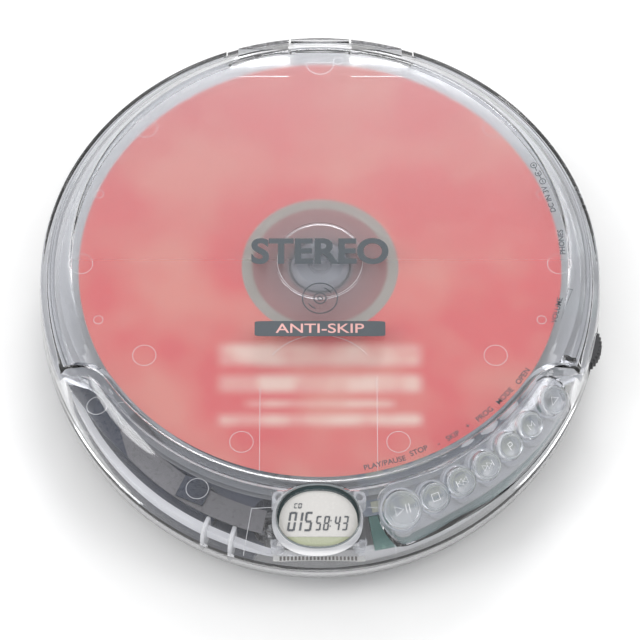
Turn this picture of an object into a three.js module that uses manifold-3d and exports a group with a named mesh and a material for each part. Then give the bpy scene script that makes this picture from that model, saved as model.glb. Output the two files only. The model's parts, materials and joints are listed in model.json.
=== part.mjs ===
// Portable CD player in clear plastic, closed, with a disc inside. Millimetres, +Z up, +X right,
// +Y to the back. Everything is laid out from the disc's axis, and the finished group is moved so
// that the origin is under the middle of the player's box, on the surface it stands on.
import * as THREE from 'three';
import { mergeVertices } from 'three/addons/utils/BufferGeometryUtils.js';
import Module from 'manifold-3d';

const wasm = await Module();
wasm.setup();

// ---- driving dimensions ----
const GAP = 0.3; // between pieces that touch
const WALL = 1.6; // shell thickness
const BODY_R = 70.2; // back half of the outline, at the parting line
const BODY_FRONT = 78.8; // front half is an ellipse this long
const AXIS_Y = (BODY_FRONT - BODY_R) / 2; // disc axis, from the middle of the box
const FOOT_H = 1;
const PARTING_Z = 12.5;
const TOP_Z = 28;
const EDGE_R = 10; // rounding under the bottom shell
const PLATEAU_R = 62.3; // flat top of the lid and start of the front slope

const DISC_R = 60;
const DISC_HOLE_R = 7.5;
const DISC_Z = 21.8;
const DISC_T = 1.2;

const LID_T = 2;
const LID_INSET = 2.8; // lid edge, in from the outline
const LID_BOTTOM_Z = 22.6;
const LID_GAP = 0.35;
const EAR_Y = -54.5; // the seam's straight part crosses the disc axis' plane here
const EAR_ANGLE = 0.4; // its slope
const EAR_FILLET = 12;
const HINGE_Y = 65.6;
const HINGE_Z = 20.6;
const ARM_X = [8, 20.9]; // each hinge arm, from the middle plane
const NOTCH_X = 24; // end of the notch in the rim beside it

const WELL_FLOOR_Z = 18.4;
const WELL_FLOOR_T = 1.4;
const WELL_RING_R = [64.3, 65.5];
const WELL_RING_TOP = 22.3;

const DECK_BLEND = [58, 70]; // degrees from the front where the slope turns into the rim
// Back and side profile from the flat top to the parting line, as inset and height.
const RIM = [
  [6.0, 26.3], [4.2, 24.6], [2.7, 22.9], [1.2, 22.4], [0.6, 21.7], [0.15, 17.2],
];

const LCD = { x: -0.4, y: -70.4, z: 25.2, tilt: 29.5 * Math.PI / 180, width: 20.4, height: 15.6 };

// Buttons: distance from the disc axis, degrees round from the front, radius.
const BUTTONS = {
  play: { r: 71.4, turn: 16.2, radius: 4.5 },
  stop: { r: 70.9, turn: 23.1, radius: 3.4 },
  skip_back: { r: 70.1, turn: 29.2, radius: 3.4 },
  skip_forward: { r: 69.7, turn: 35.5, radius: 3.4 },
  program: { r: 69.1, turn: 41.9, radius: 3.3 },
  mode: { r: 68.6, turn: 48.2, radius: 3.3 },
  open: { r: 68.7, turn: 56, radius: 3.5 },
};
const BUTTON_PROUD = 0.9;
const BUTTON_DEPTH = 2;
const KEY_RECESS = 1.0; // depth of the kidney-shaped pocket round the buttons
const KIDNEY = { play: 6.2, rest: 5.1, shift: 0.5, bottom: 17 }; // half widths, how far in, foot

const BATTERY_TURN = -0.672; // the cells lie along a chord at the front left
const BATTERY_OUT = 46.5; // their middle, from the disc axis
const CELL_R = 7;
const CELL_L = 49;
const CELL_Z = 10.3;
const BOX = { x: 28, y: 16.3, bottom: 3, top: 18.1, wall: 1.1, roof: 0.7 };
const DOOR = { x: 26, inner: 15, play: GAP };

const SLED_TRAVEL = 33;
const LENS_Y = 23; // lens at the start of the disc
const SLED_FRONT = 3.6; // of the pickup's raised middle, past the lens
const ROD_X = 14;
const ROD_R = 1.5;
const ROD_Z = 14.6;
const PLATE_Z = [9.4, 10.6];
const GEAR = { x: 27.3, y: 28, r: 7 };
const WORM_X = 36.4;

const PCB_Z = [7.4, 8.6];
const KEY_PCB_Z = [15.4, 16.6];
const WHEEL = { x: 61.9, y: -18, r: 8, z: [13.4, 16.8] };
const PHONES = { y: 4, z: 12.2 };
const DC = { turn: 20.5 * Math.PI / 180, z: 12.6 };
const LATCH = { x: 61, y: -26.2 };

const SCREWS = [[-30, 50], [30, 50], [24, -62], [-12, -66]];
const FEET = [[-38.9, 38.9], [38.9, 38.9], [-55.5, -6], [2, -62.5], [44, -40]];
const DAMPERS = [[-19, -13], [19, -13], [-19, 53], [19, 53]];

// ---- solids ----
const MANY = 48; // steps round the body
const FEW = 14; // steps round a small cylinder

function solidOf(geometry) {
  const bare = geometry.clone();
  bare.deleteAttribute('normal');
  bare.deleteAttribute('uv');
  const merged = mergeVertices(bare, 1e-4);
  const vertProperties = Float32Array.from(merged.attributes.position.array);
  const triVerts = Uint32Array.from(merged.index.array);
  return new wasm.Manifold(new wasm.Mesh({ numProp: 3, vertProperties, triVerts }));
}

function geometryOf(solid) {
  const { vertProperties, triVerts, numProp } = solid.getMesh();
  const geometry = new THREE.BufferGeometry();
  const position = new Float32Array(vertProperties.length / numProp * 3);
  for (let i = 0; i < position.length / 3; i += 1) {
    position.set(vertProperties.subarray(i * numProp, i * numProp + 3), i * 3);
  }
  geometry.setAttribute('position', new THREE.BufferAttribute(position, 3));
  geometry.setIndex(new THREE.BufferAttribute(Uint32Array.from(triVerts), 1));
  geometry.computeVertexNormals();
  return geometry;
}

const join = (...solids) => solids.reduce((a, b) => a.add(b));
const cut = (solid, ...tools) => tools.reduce((a, b) => a.subtract(b), solid);
const common = (...solids) => solids.reduce((a, b) => a.intersect(b));

function box(x, y, z) { // each argument is a [from, to] pair
  const geometry = new THREE.BoxGeometry(x[1] - x[0], y[1] - y[0], z[1] - z[0]);
  return solidOf(geometry.translate((x[0] + x[1]) / 2, (y[0] + y[1]) / 2, (z[0] + z[1]) / 2));
}

function prism(points, z) {
  const geometry = new THREE.ExtrudeGeometry(new THREE.Shape(points), {
    depth: z[1] - z[0], bevelEnabled: false,
  });
  return solidOf(geometry.translate(0, 0, z[0]));
}

function post(x, y, r, z, steps = FEW) {
  const geometry = new THREE.CylinderGeometry(r, r, z[1] - z[0], steps).rotateX(Math.PI / 2);
  return solidOf(geometry.translate(x, y, (z[0] + z[1]) / 2));
}

// A turned solid about Z. The profile runs anticlockwise, as radius and height.
function turned(profile, steps = FEW) {
  const points = profile.map(([r, z]) => new THREE.Vector2(r, z));
  return solidOf(new THREE.LatheGeometry(points, steps).rotateX(Math.PI / 2));
}

const tube = (r, z, steps = FEW) => turned([
  [r[0], z[0]], [r[1], z[0]], [r[1], z[1]], [r[0], z[1]], [r[0], z[0]],
], steps);

// Moves a solid built about the origin: a frame holds a position and a rotation.
function placed(solid, frame) {
  const geometry = geometryOf(solid);
  frame.updateMatrix();
  return solidOf(geometry.applyMatrix4(frame.matrix));
}

function frameAt(x, y, z, turnZ = 0, tiltX = 0) {
  const frame = new THREE.Object3D();
  frame.position.set(x, y, z);
  frame.rotation.set(tiltX, 0, turnZ, 'ZYX');
  return frame;
}

// ---- the body's form ----
const radians = (degrees) => degrees * Math.PI / 180;

// Distance from the disc axis to the outline, in direction angle (0 is +X).
function outlineR(angle) {
  const depth = Math.sin(angle) < 0 ? BODY_FRONT : BODY_R;
  return 1 / Math.hypot(Math.cos(angle) / BODY_R, Math.sin(angle) / depth);
}

// How much of the front slope shows in this direction: 1 at the front, 0 on the rim.
function frontShare(angle) {
  const fromFront = Math.abs(Math.atan2(Math.cos(angle), -Math.sin(angle))) * 180 / Math.PI;
  return 1 - THREE.MathUtils.smoothstep(fromFront, ...DECK_BLEND);
}

// Profile of the upper half from the edge of the flat top to the parting line.
function upperProfile(angle) {
  const outer = outlineR(angle);
  const share = frontShare(angle);
  const points = [new THREE.Vector2(PLATEAU_R, TOP_Z)];
  RIM.forEach(([inset, z], i) => {
    const t = (i + 1) / (RIM.length + 1) * Math.PI / 2;
    const slope = new THREE.Vector2(
      PLATEAU_R + (outer - PLATEAU_R) * Math.sin(t),
      PARTING_Z + (TOP_Z - PARTING_Z) * Math.cos(t),
    );
    points.push(new THREE.Vector2(outer - inset, z).lerp(slope, share));
  });
  points.push(new THREE.Vector2(outer, PARTING_Z));
  return points;
}

function lowerProfile(angle) {
  const outer = outlineR(angle);
  const points = [new THREE.Vector2(outer, PARTING_Z)];
  for (let i = 0; i <= 5; i += 1) {
    const t = i / 5 * Math.PI / 2;
    points.push(new THREE.Vector2(
      outer - EDGE_R + EDGE_R * Math.cos(t),
      FOOT_H + EDGE_R - EDGE_R * Math.sin(t),
    ));
  }
  return points;
}

// The profile moved inwards by inset, square to itself.
function insetProfile(profile, inset, level) {
  return profile.map((point, i) => {
    const before = profile[Math.max(i - 1, 0)];
    const after = profile[Math.min(i + 1, profile.length - 1)];
    const along = after.clone().sub(before).normalize();
    const inwards = new THREE.Vector2(along.y, -along.x);
    if (i === level) inwards.set(0, point.y > PARTING_Z ? -1 : 1);
    if (point.y === PARTING_Z) inwards.set(-1, 0);
    return point.clone().addScaledVector(inwards, inset);
  });
}

// A closed solid of revolution-like rings: one profile of the same length in each direction.
function ringSolid(profileAt, topZ, bottomZ) {
  const rings = [];
  for (let i = 0; i < MANY; i += 1) {
    rings.push(profileAt(i / MANY * 2 * Math.PI));
  }
  const rows = rings[0].length;
  const position = [0, 0, topZ, 0, 0, bottomZ];
  rings.forEach((ring, i) => {
    const angle = i / MANY * 2 * Math.PI;
    ring.forEach((p) => position.push(p.x * Math.cos(angle), p.x * Math.sin(angle), p.y));
  });
  const index = [];
  for (let i = 0; i < MANY; i += 1) {
    const a = 2 + i * rows;
    const b = 2 + ((i + 1) % MANY) * rows;
    index.push(0, a, b);
    for (let j = 0; j < rows - 1; j += 1) {
      index.push(a + j, a + j + 1, b + j + 1, a + j, b + j + 1, b + j);
    }
    index.push(1, b + rows - 1, a + rows - 1);
  }
  const geometry = new THREE.BufferGeometry();
  geometry.setAttribute('position', new THREE.Float32BufferAttribute(position, 3));
  geometry.setIndex(index);
  return solidOf(geometry);
}

function upperForm(inset, bottomZ) {
  const profileAt = (angle) => {
    const profile = insetProfile(upperProfile(angle), inset, 0);
    const last = profile[profile.length - 1];
    profile.push(new THREE.Vector2(last.x, bottomZ));
    return profile;
  };
  return ringSolid(profileAt, TOP_Z - inset, bottomZ);
}

function lowerForm(inset, topZ) {
  const profileAt = (angle) => {
    const profile = lowerProfile(angle);
    const moved = insetProfile(profile, inset, profile.length - 1);
    moved[0].y = topZ;
    return moved;
  };
  return ringSolid(profileAt, topZ, FOOT_H + inset);
}

// The room inside the closed shells, less a clearance to their walls.
const cavity = (clearance) => join(
  lowerForm(WALL + clearance, PARTING_Z + 1),
  upperForm(WALL + clearance, PARTING_Z - 1),
);

function arc(points, centre, r, from, to, steps) {
  for (let i = 0; i <= steps; i += 1) {
    const angle = from + (to - from) * i / steps;
    points.push(new THREE.Vector2(centre.x + r * Math.cos(angle), centre.y + r * Math.sin(angle)));
  }
}

// The lid's outline seen from above, grown by offset: the body's outline less LID_INSET at the
// back, two ears at the sides, and a circle round the disc at the front.
function lidOutline(offset) {
  const along = new THREE.Vector2(Math.cos(EAR_ANGLE), Math.sin(EAR_ANGLE));
  const down = new THREE.Vector2(along.y, -along.x);
  const start = new THREE.Vector2(0, EAR_Y);
  const frontR = PLATEAU_R - 0.1 + offset;
  const filletR = EAR_FILLET - offset;
  const base = start.clone().addScaledVector(down, EAR_FILLET);
  const halfB = base.dot(along);
  const c = base.lengthSq() - (PLATEAU_R - 0.1 + EAR_FILLET) ** 2;
  const centre = base.clone().addScaledVector(along, -halfB + Math.sqrt(halfB * halfB - c));
  const touch = Math.atan2(-centre.y, -centre.x);
  const square = Math.atan2(-down.y, -down.x);
  const edgeR = (angle) => outlineR(angle) - LID_INSET + offset;
  let ear = radians(-30);
  const lineY = (x) => EAR_Y + x * Math.tan(EAR_ANGLE) - offset / Math.cos(EAR_ANGLE);
  while (edgeR(ear) * Math.sin(ear) < lineY(edgeR(ear) * Math.cos(ear))) ear += 0.002;
  const right = [];
  arc(right, new THREE.Vector2(0, 0), frontR, -Math.PI / 2, Math.atan2(centre.y, centre.x), 12);
  right.pop();
  arc(right, centre, filletR, touch, square, 6);
  const steps = 24;
  for (let i = 0; i <= steps; i += 1) {
    const angle = ear + (Math.PI / 2 - ear) * i / steps;
    right.push(new THREE.Vector2(edgeR(angle) * Math.cos(angle), edgeR(angle) * Math.sin(angle)));
  }
  const left = right.slice(1, -1).reverse().map((p) => new THREE.Vector2(-p.x, p.y));
  return [...right, ...left];
}

// ---- the button row ----
function buttonFrame({ r, turn }) {
  const angle = radians(turn - 90);
  const profile = upperProfile(angle);
  const i = Math.max(1, profile.findIndex((p) => p.x > r));
  const along = profile[i].clone().sub(profile[i - 1]);
  const share = (r - profile[i - 1].x) / along.x;
  const z = profile[i - 1].y + along.y * share;
  const tilt = Math.atan2(-along.y, along.x) * 0.9;
  return frameAt(r * Math.cos(angle), r * Math.sin(angle), z, radians(turn), tilt);
}

const buttonFrames = Object.fromEntries(
  Object.entries(BUTTONS).map(([name, button]) => [name, buttonFrame(button)]),
);

// Outline of the pocket that the buttons stand in: two arcs with round ends, wider at PLAY.
function kidney(offset) {
  const first = BUTTONS.play;
  const last = BUTTONS.open;
  const points = [];
  const middleAt = (t) => {
    const turn = radians(THREE.MathUtils.lerp(first.turn, last.turn, t) - 90);
    const r = THREE.MathUtils.lerp(first.r, last.r, t) - KIDNEY.shift;
    const half = THREE.MathUtils.lerp(KIDNEY.play, KIDNEY.rest, Math.min(1, t * 4)) + offset;
    return { turn, half, x: r * Math.cos(turn), y: r * Math.sin(turn) };
  };
  const steps = 10;
  const walk = (side, from, to) => {
    for (let i = 0; i <= steps; i += 1) {
      const at = middleAt(from + (to - from) * i / steps);
      points.push(new THREE.Vector2(
        at.x + side * at.half * Math.cos(at.turn),
        at.y + side * at.half * Math.sin(at.turn),
      ));
    }
  };
  walk(1, 0, 1);
  const end = middleAt(1);
  arc(points, end, end.half, end.turn + 0.3, end.turn + Math.PI - 0.3, 6);
  walk(-1, 1, 0);
  const start = middleAt(0);
  arc(points, start, start.half, start.turn + Math.PI + 0.3, start.turn + 2 * Math.PI - 0.3, 6);
  return points;
}

const buttonHoles = Object.entries(BUTTONS).map(([name, { radius }]) => placed(
  post(0, 0, radius + GAP + 0.1, [-8, 6]),
  buttonFrames[name],
));

// ---- the display ----
const lcdFrame = frameAt(LCD.x, LCD.y, LCD.z, 0, LCD.tilt);

function oval(width, height, z) {
  const points = [];
  const steps = 24;
  for (let i = 0; i < steps; i += 1) {
    const angle = i / steps * 2 * Math.PI;
    const x = Math.sign(Math.cos(angle)) * Math.abs(Math.cos(angle)) ** 0.9;
    const y = Math.sign(Math.sin(angle)) * Math.abs(Math.sin(angle)) ** 0.9;
    points.push(new THREE.Vector2(x * width / 2, y * height / 2));
  }
  return prism(points, z);
}

// ---- moulded shells ----
// A round bar along X.
const bar = (r, from, to) => {
  const geometry = new THREE.CylinderGeometry(r, r, to - from, FEW).rotateZ(-Math.PI / 2);
  return solidOf(geometry.translate((from + to) / 2, 0, 0));
};
const hingeFrame = frameAt(0, HINGE_Y, HINGE_Z);
const phonesFrame = frameAt(0, PHONES.y, PHONES.z);
const dcFrame = frameAt(0, 0, DC.z, DC.turn);
const jackHoles = [
  placed(bar(3.2, 60, 75), phonesFrame),
  placed(bar(3.6, 60, 75), dcFrame),
];

function hingeRoom() {
  const arms = [-1, 1].map((side) => {
    const x = [side * (ARM_X[0] - 0.5), side * NOTCH_X].sort((a, b) => a - b);
    return box(x, [61.5, 71], [16.4, 24]);
  });
  const swing = placed(bar(3.6, 0.5 - ARM_X[0], ARM_X[0] - 0.5), hingeFrame);
  return [...arms, swing];
}

function topCover() {
  const form = upperForm(0, PARTING_Z + GAP / 2);
  const skin = cut(form, upperForm(WALL, PARTING_Z - 2), prism(lidOutline(LID_GAP), [17, 40]));
  const floorTop = WELL_FLOOR_Z + WELL_FLOOR_T;
  const well = common(form, cut(
    prism(lidOutline(LID_GAP + 1.2), [WELL_FLOOR_Z, 40]),
    prism(lidOutline(LID_GAP), [floorTop, 41]),
  ));
  const ring = common(
    prism(lidOutline(LID_GAP + 0.5), [floorTop - 0.5, 30]),
    tube(WELL_RING_R, [floorTop - 0.5, WELL_RING_TOP], MANY),
  );
  const pinHolder = join(
    placed(bar(1.6, -6.6, 6.6), hingeFrame),
    box([-6.6, 6.6], [60.6, HINGE_Y], [18.9, 21.4]),
  );
  const pinHole = placed(bar(0.9, -7, 7), hingeFrame);
  const pocket = cut(
    common(upperForm(-1, PARTING_Z), prism(kidney(0), [KIDNEY.bottom, 40])),
    upperForm(KEY_RECESS, PARTING_Z - 4),
  );
  return cut(
    join(cut(join(skin, well, ring), ...hingeRoom()), pinHolder),
    pinHole,
    post(0, 0, 16, [17, 21]),
    box([-9, 9], [10, LENS_Y + SLED_TRAVEL + SLED_FRONT + 0.6], [17, 21]),
    box([LATCH.x - 2.2, LATCH.x + 2.2], [LATCH.y - 1.2, LATCH.y + 1.2], [17, 24]),
    post(WHEEL.x, WHEEL.y, WHEEL.r + 0.5, [11, WHEEL.z[1] + 0.5]),
    pocket,
    ...buttonHoles,
    placed(oval(LCD.width + 2 * GAP, LCD.height + 2 * GAP, [-1.6, 8]), lcdFrame),
    placed(box([-9.9, 9.9], [-6.9, 5.9], [-3.2, -1.3]), lcdFrame),
    ...jackHoles,
  );
}

const doorFrame = frameAt(
  -BATTERY_OUT * Math.sin(-BATTERY_TURN),
  -BATTERY_OUT * Math.cos(BATTERY_TURN),
  0,
  BATTERY_TURN,
);
const doorPlan = (play, z) => placed(
  box([-DOOR.x + play, DOOR.x - play], [-40, DOOR.inner - play], z),
  doorFrame,
);

function bottomShell() {
  const bosses = SCREWS.map(([x, y]) => post(x, y, 3.6, [FOOT_H + 1, 11.5]));
  const hollow = cut(lowerForm(0, PARTING_Z - GAP / 2), lowerForm(WALL, PARTING_Z + 2));
  const screwHoles = SCREWS.flatMap(([x, y]) => [
    post(x, y, 1.4, [0, 13]),
    post(x, y, 2.7, [0, 3.2]),
  ]);
  return cut(
    join(hollow, ...bosses),
    ...screwHoles,
    doorPlan(0, [0, FOOT_H + WALL + GAP]),
    ...jackHoles,
  );
}

const batteryDoor = () => common(
  lowerForm(0, PARTING_Z),
  doorPlan(DOOR.play, [0, FOOT_H + WALL]),
);

function lid() {
  const form = upperForm(0, PARTING_Z);
  const plan = prism(lidOutline(0), [LID_BOTTOM_Z, 40]);
  const hollow = prism(lidOutline(-1.6), [PARTING_Z, TOP_Z - LID_T]);
  const shell = cut(common(form, plan), common(hollow, upperForm(LID_T, PARTING_Z - 1)));
  const stiffener = tube([10.2, 11.2], [TOP_Z - LID_T - 1, TOP_Z - LID_T + 0.4]);
  const arms = [-1, 1].map((side) => {
    const x = ARM_X.map((value) => side * value).sort((a, b) => a - b);
    const pad = box(x, [54.5, 63], [TOP_Z - LID_T - 0.8, TOP_Z - LID_T + 0.4]);
    const arm = common(form, box(x, [62.2, 71], [19.5, TOP_Z - 0.6]));
    const pinX = [side * (ARM_X[0] - 2.6), side * (ARM_X[0] + 1)].sort((a, b) => a - b);
    const pin = placed(bar(0.6, ...pinX), hingeFrame);
    return join(pad, arm, pin);
  });
  const tongue = box(
    [LATCH.x - 1.6, LATCH.x + 1.6],
    [LATCH.y - 0.7, LATCH.y + 0.7],
    [WHEEL.z[1] + 0.5, LID_BOTTOM_Z + 1.2],
  );
  return join(shell, stiffener, ...arms, tongue);
}

// ---- disc drive ----
const compactDisc = () => tube([DISC_HOLE_R, DISC_R], [DISC_Z, DISC_Z + DISC_T], MANY);

const turntable = () => turned([
  [0, 22.8], [1.3, 22.8], [1.3, 20], [15, 20], [15, DISC_Z - GAP],
  [DISC_HOLE_R - GAP, DISC_Z - GAP], [DISC_HOLE_R - GAP, 23.4], [6, 24.5], [0, 24.5],
], 24);

const spindleMotor = () => turned([
  [0, 4.6], [11, 4.6], [11, 9.1], [4, 9.1], [4, 11.7], [1, 11.7], [1, 22.5], [0, 22.5],
], 24);

const chassisPlate = () => {
  const plate = join(
    box([-23, 23], [-18, 66], PLATE_Z),
    box([22, 42], [18, 52], PLATE_Z),
  );
  const posts = [-ROD_X, ROD_X].flatMap((x) => [[8.4, 12.3], [63.2, 66]].map(
    (y) => box([x - 2.6, x + 2.6], y, [PLATE_Z[1] - 0.2, 17.2]),
  ));
  const rodHoles = [-ROD_X, ROD_X].map((x) => rodAt(x, ROD_R + GAP, [0, 70]));
  const wormPost = cut(
    box([WORM_X - 2.5, WORM_X + 2.5], [18.4, 20.4], [PLATE_Z[1] - 0.2, 17.2]),
    rodAt(WORM_X, 1.1, [15, 24]),
  );
  return common(cavity(0.4), cut(
    join(plate, ...posts, wormPost),
    ...rodHoles,
    post(0, 0, 4.3, [5, 14]),
    box([-9.5, 9.5], [16, 58], [8, 12]),
    post(GEAR.x, GEAR.y, 1.6, [8, 12]),
    post(SCREWS[1][0], SCREWS[1][1], 4.2, [8, 12]),
  ));
};

function rodAt(x, r, y) {
  const geometry = new THREE.CylinderGeometry(r, r, y[1] - y[0], 16);
  return solidOf(geometry.translate(x, (y[0] + y[1]) / 2, ROD_Z));
}

function sled() {
  const body = box([-18, 18.2], [LENS_Y - 10, LENS_Y + 5.5], [12, 17.8]);
  const rack = box([18, 20], [GEAR.y - SLED_TRAVEL, GEAR.y], [13, 15]);
  const rackTeeth = [];
  for (let y = GEAR.y - SLED_TRAVEL + 1; y < GEAR.y; y += 2) {
    rackTeeth.push(box([19.4, 20.6], [y - 0.4, y + 0.4], [12.4, 15.6]));
  }
  const base = box([-7, 7], [LENS_Y - 6.5, LENS_Y + SLED_FRONT], [17.6, 19.2]);
  return cut(
    join(body, rack, base),
    ...rackTeeth,
    rodAt(-ROD_X, ROD_R + GAP, [0, 70]),
    rodAt(ROD_X, ROD_R + GAP, [0, 70]),
    box([-9, 9], [LENS_Y - 8, LENS_Y - 7], [15, 19]),
    post(0, LENS_Y, 2.8, [14, 21]),
  );
}

const lens = () => turned([[0, 14.6], [2.4, 14.6], [2.4, 19.4], [1.7, 20.1], [0, 20.3]], 20);

function toothed(r, depth, teeth, z) {
  const points = [];
  for (let i = 0; i < teeth * 2; i += 1) {
    const angle = i / teeth * Math.PI;
    const reach = i % 2 ? r : r - depth;
    points.push(new THREE.Vector2(reach * Math.cos(angle), reach * Math.sin(angle)));
  }
  return prism(points, z);
}

const driveGear = () => join(
  toothed(GEAR.r, 1, 22, [12.9, 15.1]),
  post(0, 0, 1.3, [PLATE_Z[0], 13]),
);

// ---- electronics ----
const mainBoard = () => cut(
  common(cavity(0.5), box([25, 66], [-25, 44], PCB_Z)),
  post(SCREWS[1][0], SCREWS[1][1], 4.2, [5, 12]),
);

function keyBoard() {
  const points = [];
  const centre = new THREE.Vector2(0, 0);
  arc(points, centre, 64.4, radians(-80), radians(-33.5), 14);
  arc(points, centre, 75.5, radians(-33.5), radians(-80), 14);
  return cut(common(cavity(0.5), prism(points, KEY_PCB_Z)), prism(lidOutline(2), [10, 30]));
}

function keyMat() {
  const domes = Object.entries(BUTTONS).map(([name, { radius }]) => {
    const at = buttonFrames[name].position;
    return post(at.x, at.y, radius - 1.4, [KEY_PCB_Z[1] + GAP, KEY_PCB_Z[1] + 1.9], 12);
  });
  const strip = prism(kidney(-3), [KEY_PCB_Z[1] + GAP, KEY_PCB_Z[1] + 0.9]);
  return cut(common(join(strip, ...domes), cavity(0.4)), prism(lidOutline(2), [10, 30]));
}

const chip = (x, y, size, z) => box(
  [x - size[0] / 2, x + size[0] / 2],
  [y - size[1] / 2, y + size[1] / 2],
  [z + GAP, z + GAP + size[2]],
);

function phonesJack() {
  const body = box([53.5, 66], [-3.5, 3.5], [-3, 3]);
  return placed(cut(join(body, bar(2.8, 65, 69.3)), bar(1.8, 55, 72)), phonesFrame);
}

function dcJack() {
  const body = box([55.5, 67], [-4.5, 4.5], [-3.7, 4]);
  const barrel = bar(3.2, 66, 69.3);
  const pin = bar(0.8, 56.5, 67);
  return placed(join(cut(join(body, barrel), bar(2.8, 58, 72)), pin), dcFrame);
}

function batteryBox() {
  const inner = [BOX.x - BOX.wall, BOX.y - BOX.wall];
  const tray = cut(
    box([-BOX.x, BOX.x], [-BOX.y, BOX.y], [BOX.bottom, BOX.top]),
    box([-inner[0], inner[0]], [-inner[1], inner[1]], [BOX.bottom - 1, BOX.top - BOX.roof]),
  );
  const apron = box([-34, 33], [-34, -BOX.y + 0.5], [8, 9.2]);
  const step = box([-27, 20], [-20.5, -BOX.y + 0.5], [9, 11.4]);
  const whole = placed(join(tray, apron, step), doorFrame);
  return cut(common(whole, cavity(0.6)), post(SCREWS[3][0], SCREWS[3][1], 4.2, [2, 20]));
}

function cell() {
  const lying = new THREE.Object3D();
  lying.rotation.y = Math.PI / 2;
  return placed(turned([
    [0, -CELL_L / 2], [CELL_R, -CELL_L / 2], [CELL_R, CELL_L / 2], [2.7, CELL_L / 2],
    [2.7, CELL_L / 2 + 1.2], [0, CELL_L / 2 + 1.2],
  ]), lying);
}

// ---- the object ----
const player = new THREE.Group();
player.position.y = AXIS_Y;

const LOOKS = {
  clear: { color: 0xdfe3e8, roughness: 0.08, metalness: 0, transparent: true, opacity: 0.35 },
  frosted: { color: 0xd6dade, roughness: 0.35, metalness: 0, transparent: true, opacity: 0.6 },
  smoke: { color: 0x3c4454, roughness: 0.3, metalness: 0, transparent: true, opacity: 0.8 },
  label: { color: 0xe08080, roughness: 0.35, metalness: 0 },
  white: { color: 0xeceae4, roughness: 0.5, metalness: 0 },
  black: { color: 0x202224, roughness: 0.5, metalness: 0 },
  rubber: { color: 0x2a2b2d, roughness: 0.9, metalness: 0 },
  chrome: { color: 0xd8dcdc, roughness: 0.12, metalness: 1 },
  steel: { color: 0xb5b8bb, roughness: 0.35, metalness: 1 },
  board: { color: 0x5f8f80, roughness: 0.5, metalness: 0 },
  screen: { color: 0xd9dccb, roughness: 0.2, metalness: 0 },
  cell: { color: 0x6f7f92, roughness: 0.35, metalness: 0.3 },
};

function add(name, solid, look, x = 0, y = 0, z = 0, parent = player) {
  const mesh = new THREE.Mesh(geometryOf(solid), new THREE.MeshStandardMaterial(LOOKS[look]));
  mesh.name = name;
  mesh.position.set(x, y, z);
  parent.add(mesh);
  return mesh;
}

add('bottom_shell', bottomShell(), 'clear');
add('top_cover', topCover(), 'clear');
add('lid', lid(), 'clear');
add('battery_door', batteryDoor(), 'clear');

const insert = cut(
  common(upperForm(0.05, PARTING_Z), prism(kidney(-GAP), [KIDNEY.bottom + GAP, 40])),
  upperForm(KEY_RECESS - GAP, PARTING_Z - 4),
  ...buttonHoles,
);
add('button_surround', insert, 'frosted');
for (const [name, { radius }] of Object.entries(BUTTONS)) {
  const cap = turned([
    [0, -BUTTON_DEPTH], [radius, -BUTTON_DEPTH], [radius, BUTTON_PROUD - 0.4],
    [radius - 0.4, BUTTON_PROUD], [radius * 0.72, BUTTON_PROUD - 0.1], [0, BUTTON_PROUD - 0.45],
  ], 28);
  add(`button_${name}`, placed(cap, buttonFrames[name]), 'frosted');
}
add('key_board', keyBoard(), 'board');
add('key_mat', keyMat(), 'white');

const bezel = cut(
  common(placed(oval(LCD.width, LCD.height, [-1.2, 8]), lcdFrame), upperForm(-0.4, 8)),
  placed(oval(LCD.width - 1.8, LCD.height - 1.8, [-3, 9]), lcdFrame),
);
add('lcd_bezel', bezel, 'chrome');
add('lcd_window', placed(oval(LCD.width - 2.4, LCD.height - 2.4, [-0.9, -0.2]), lcdFrame), 'clear');
add('lcd_panel', placed(box([-9.5, 9.5], [-6.6, 5.6], [-2.9, -1.6]), lcdFrame), 'screen');
const lcdHolder = common(cavity(0.4), placed(cut(
  box([-11.2, 11.2], [-9.5, 5.6], [-6, -1.9]),
  box([-9.9, 9.9], [-7, 7], [-7, 0]),
), lcdFrame));
add('lcd_holder', cut(lcdHolder, prism(lidOutline(2), [10, 30])), 'clear');
add('lcd_connector', box([-10, 10], [-75, -72.4], [13.2, 14.6]), 'white');

add('compact_disc', compactDisc(), 'label');
add('turntable', turntable(), 'black');
add('spindle_motor', spindleMotor(), 'steel');
add('drive_chassis', chassisPlate(), 'black');
add('guide_rod_left', rodAt(-ROD_X, ROD_R, [8.8, 65.4]), 'steel');
add('guide_rod_right', rodAt(ROD_X, ROD_R, [8.8, 65.4]), 'steel');
add('pickup_sled', sled(), 'black');
add('pickup_lens', lens(), 'clear', 0, LENS_Y, 0);
add('drive_gear', driveGear(), 'white', GEAR.x, GEAR.y, 0);
const worm = join(rodAt(0, 1.8, [21, 35]), rodAt(0, 0.8, [18.8, 38.4]));
add('feed_worm', worm, 'steel', WORM_X, 0, 0);
add('feed_motor', rodAt(0, 3.4, [38.8, 50]), 'steel', WORM_X, 0, 0);
DAMPERS.forEach(([x, y], i) => {
  add(`damper_${i + 1}`, post(x, y, 3.4, [FOOT_H + WALL + GAP, PLATE_Z[0] - GAP], 12), 'rubber');
});

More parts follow.
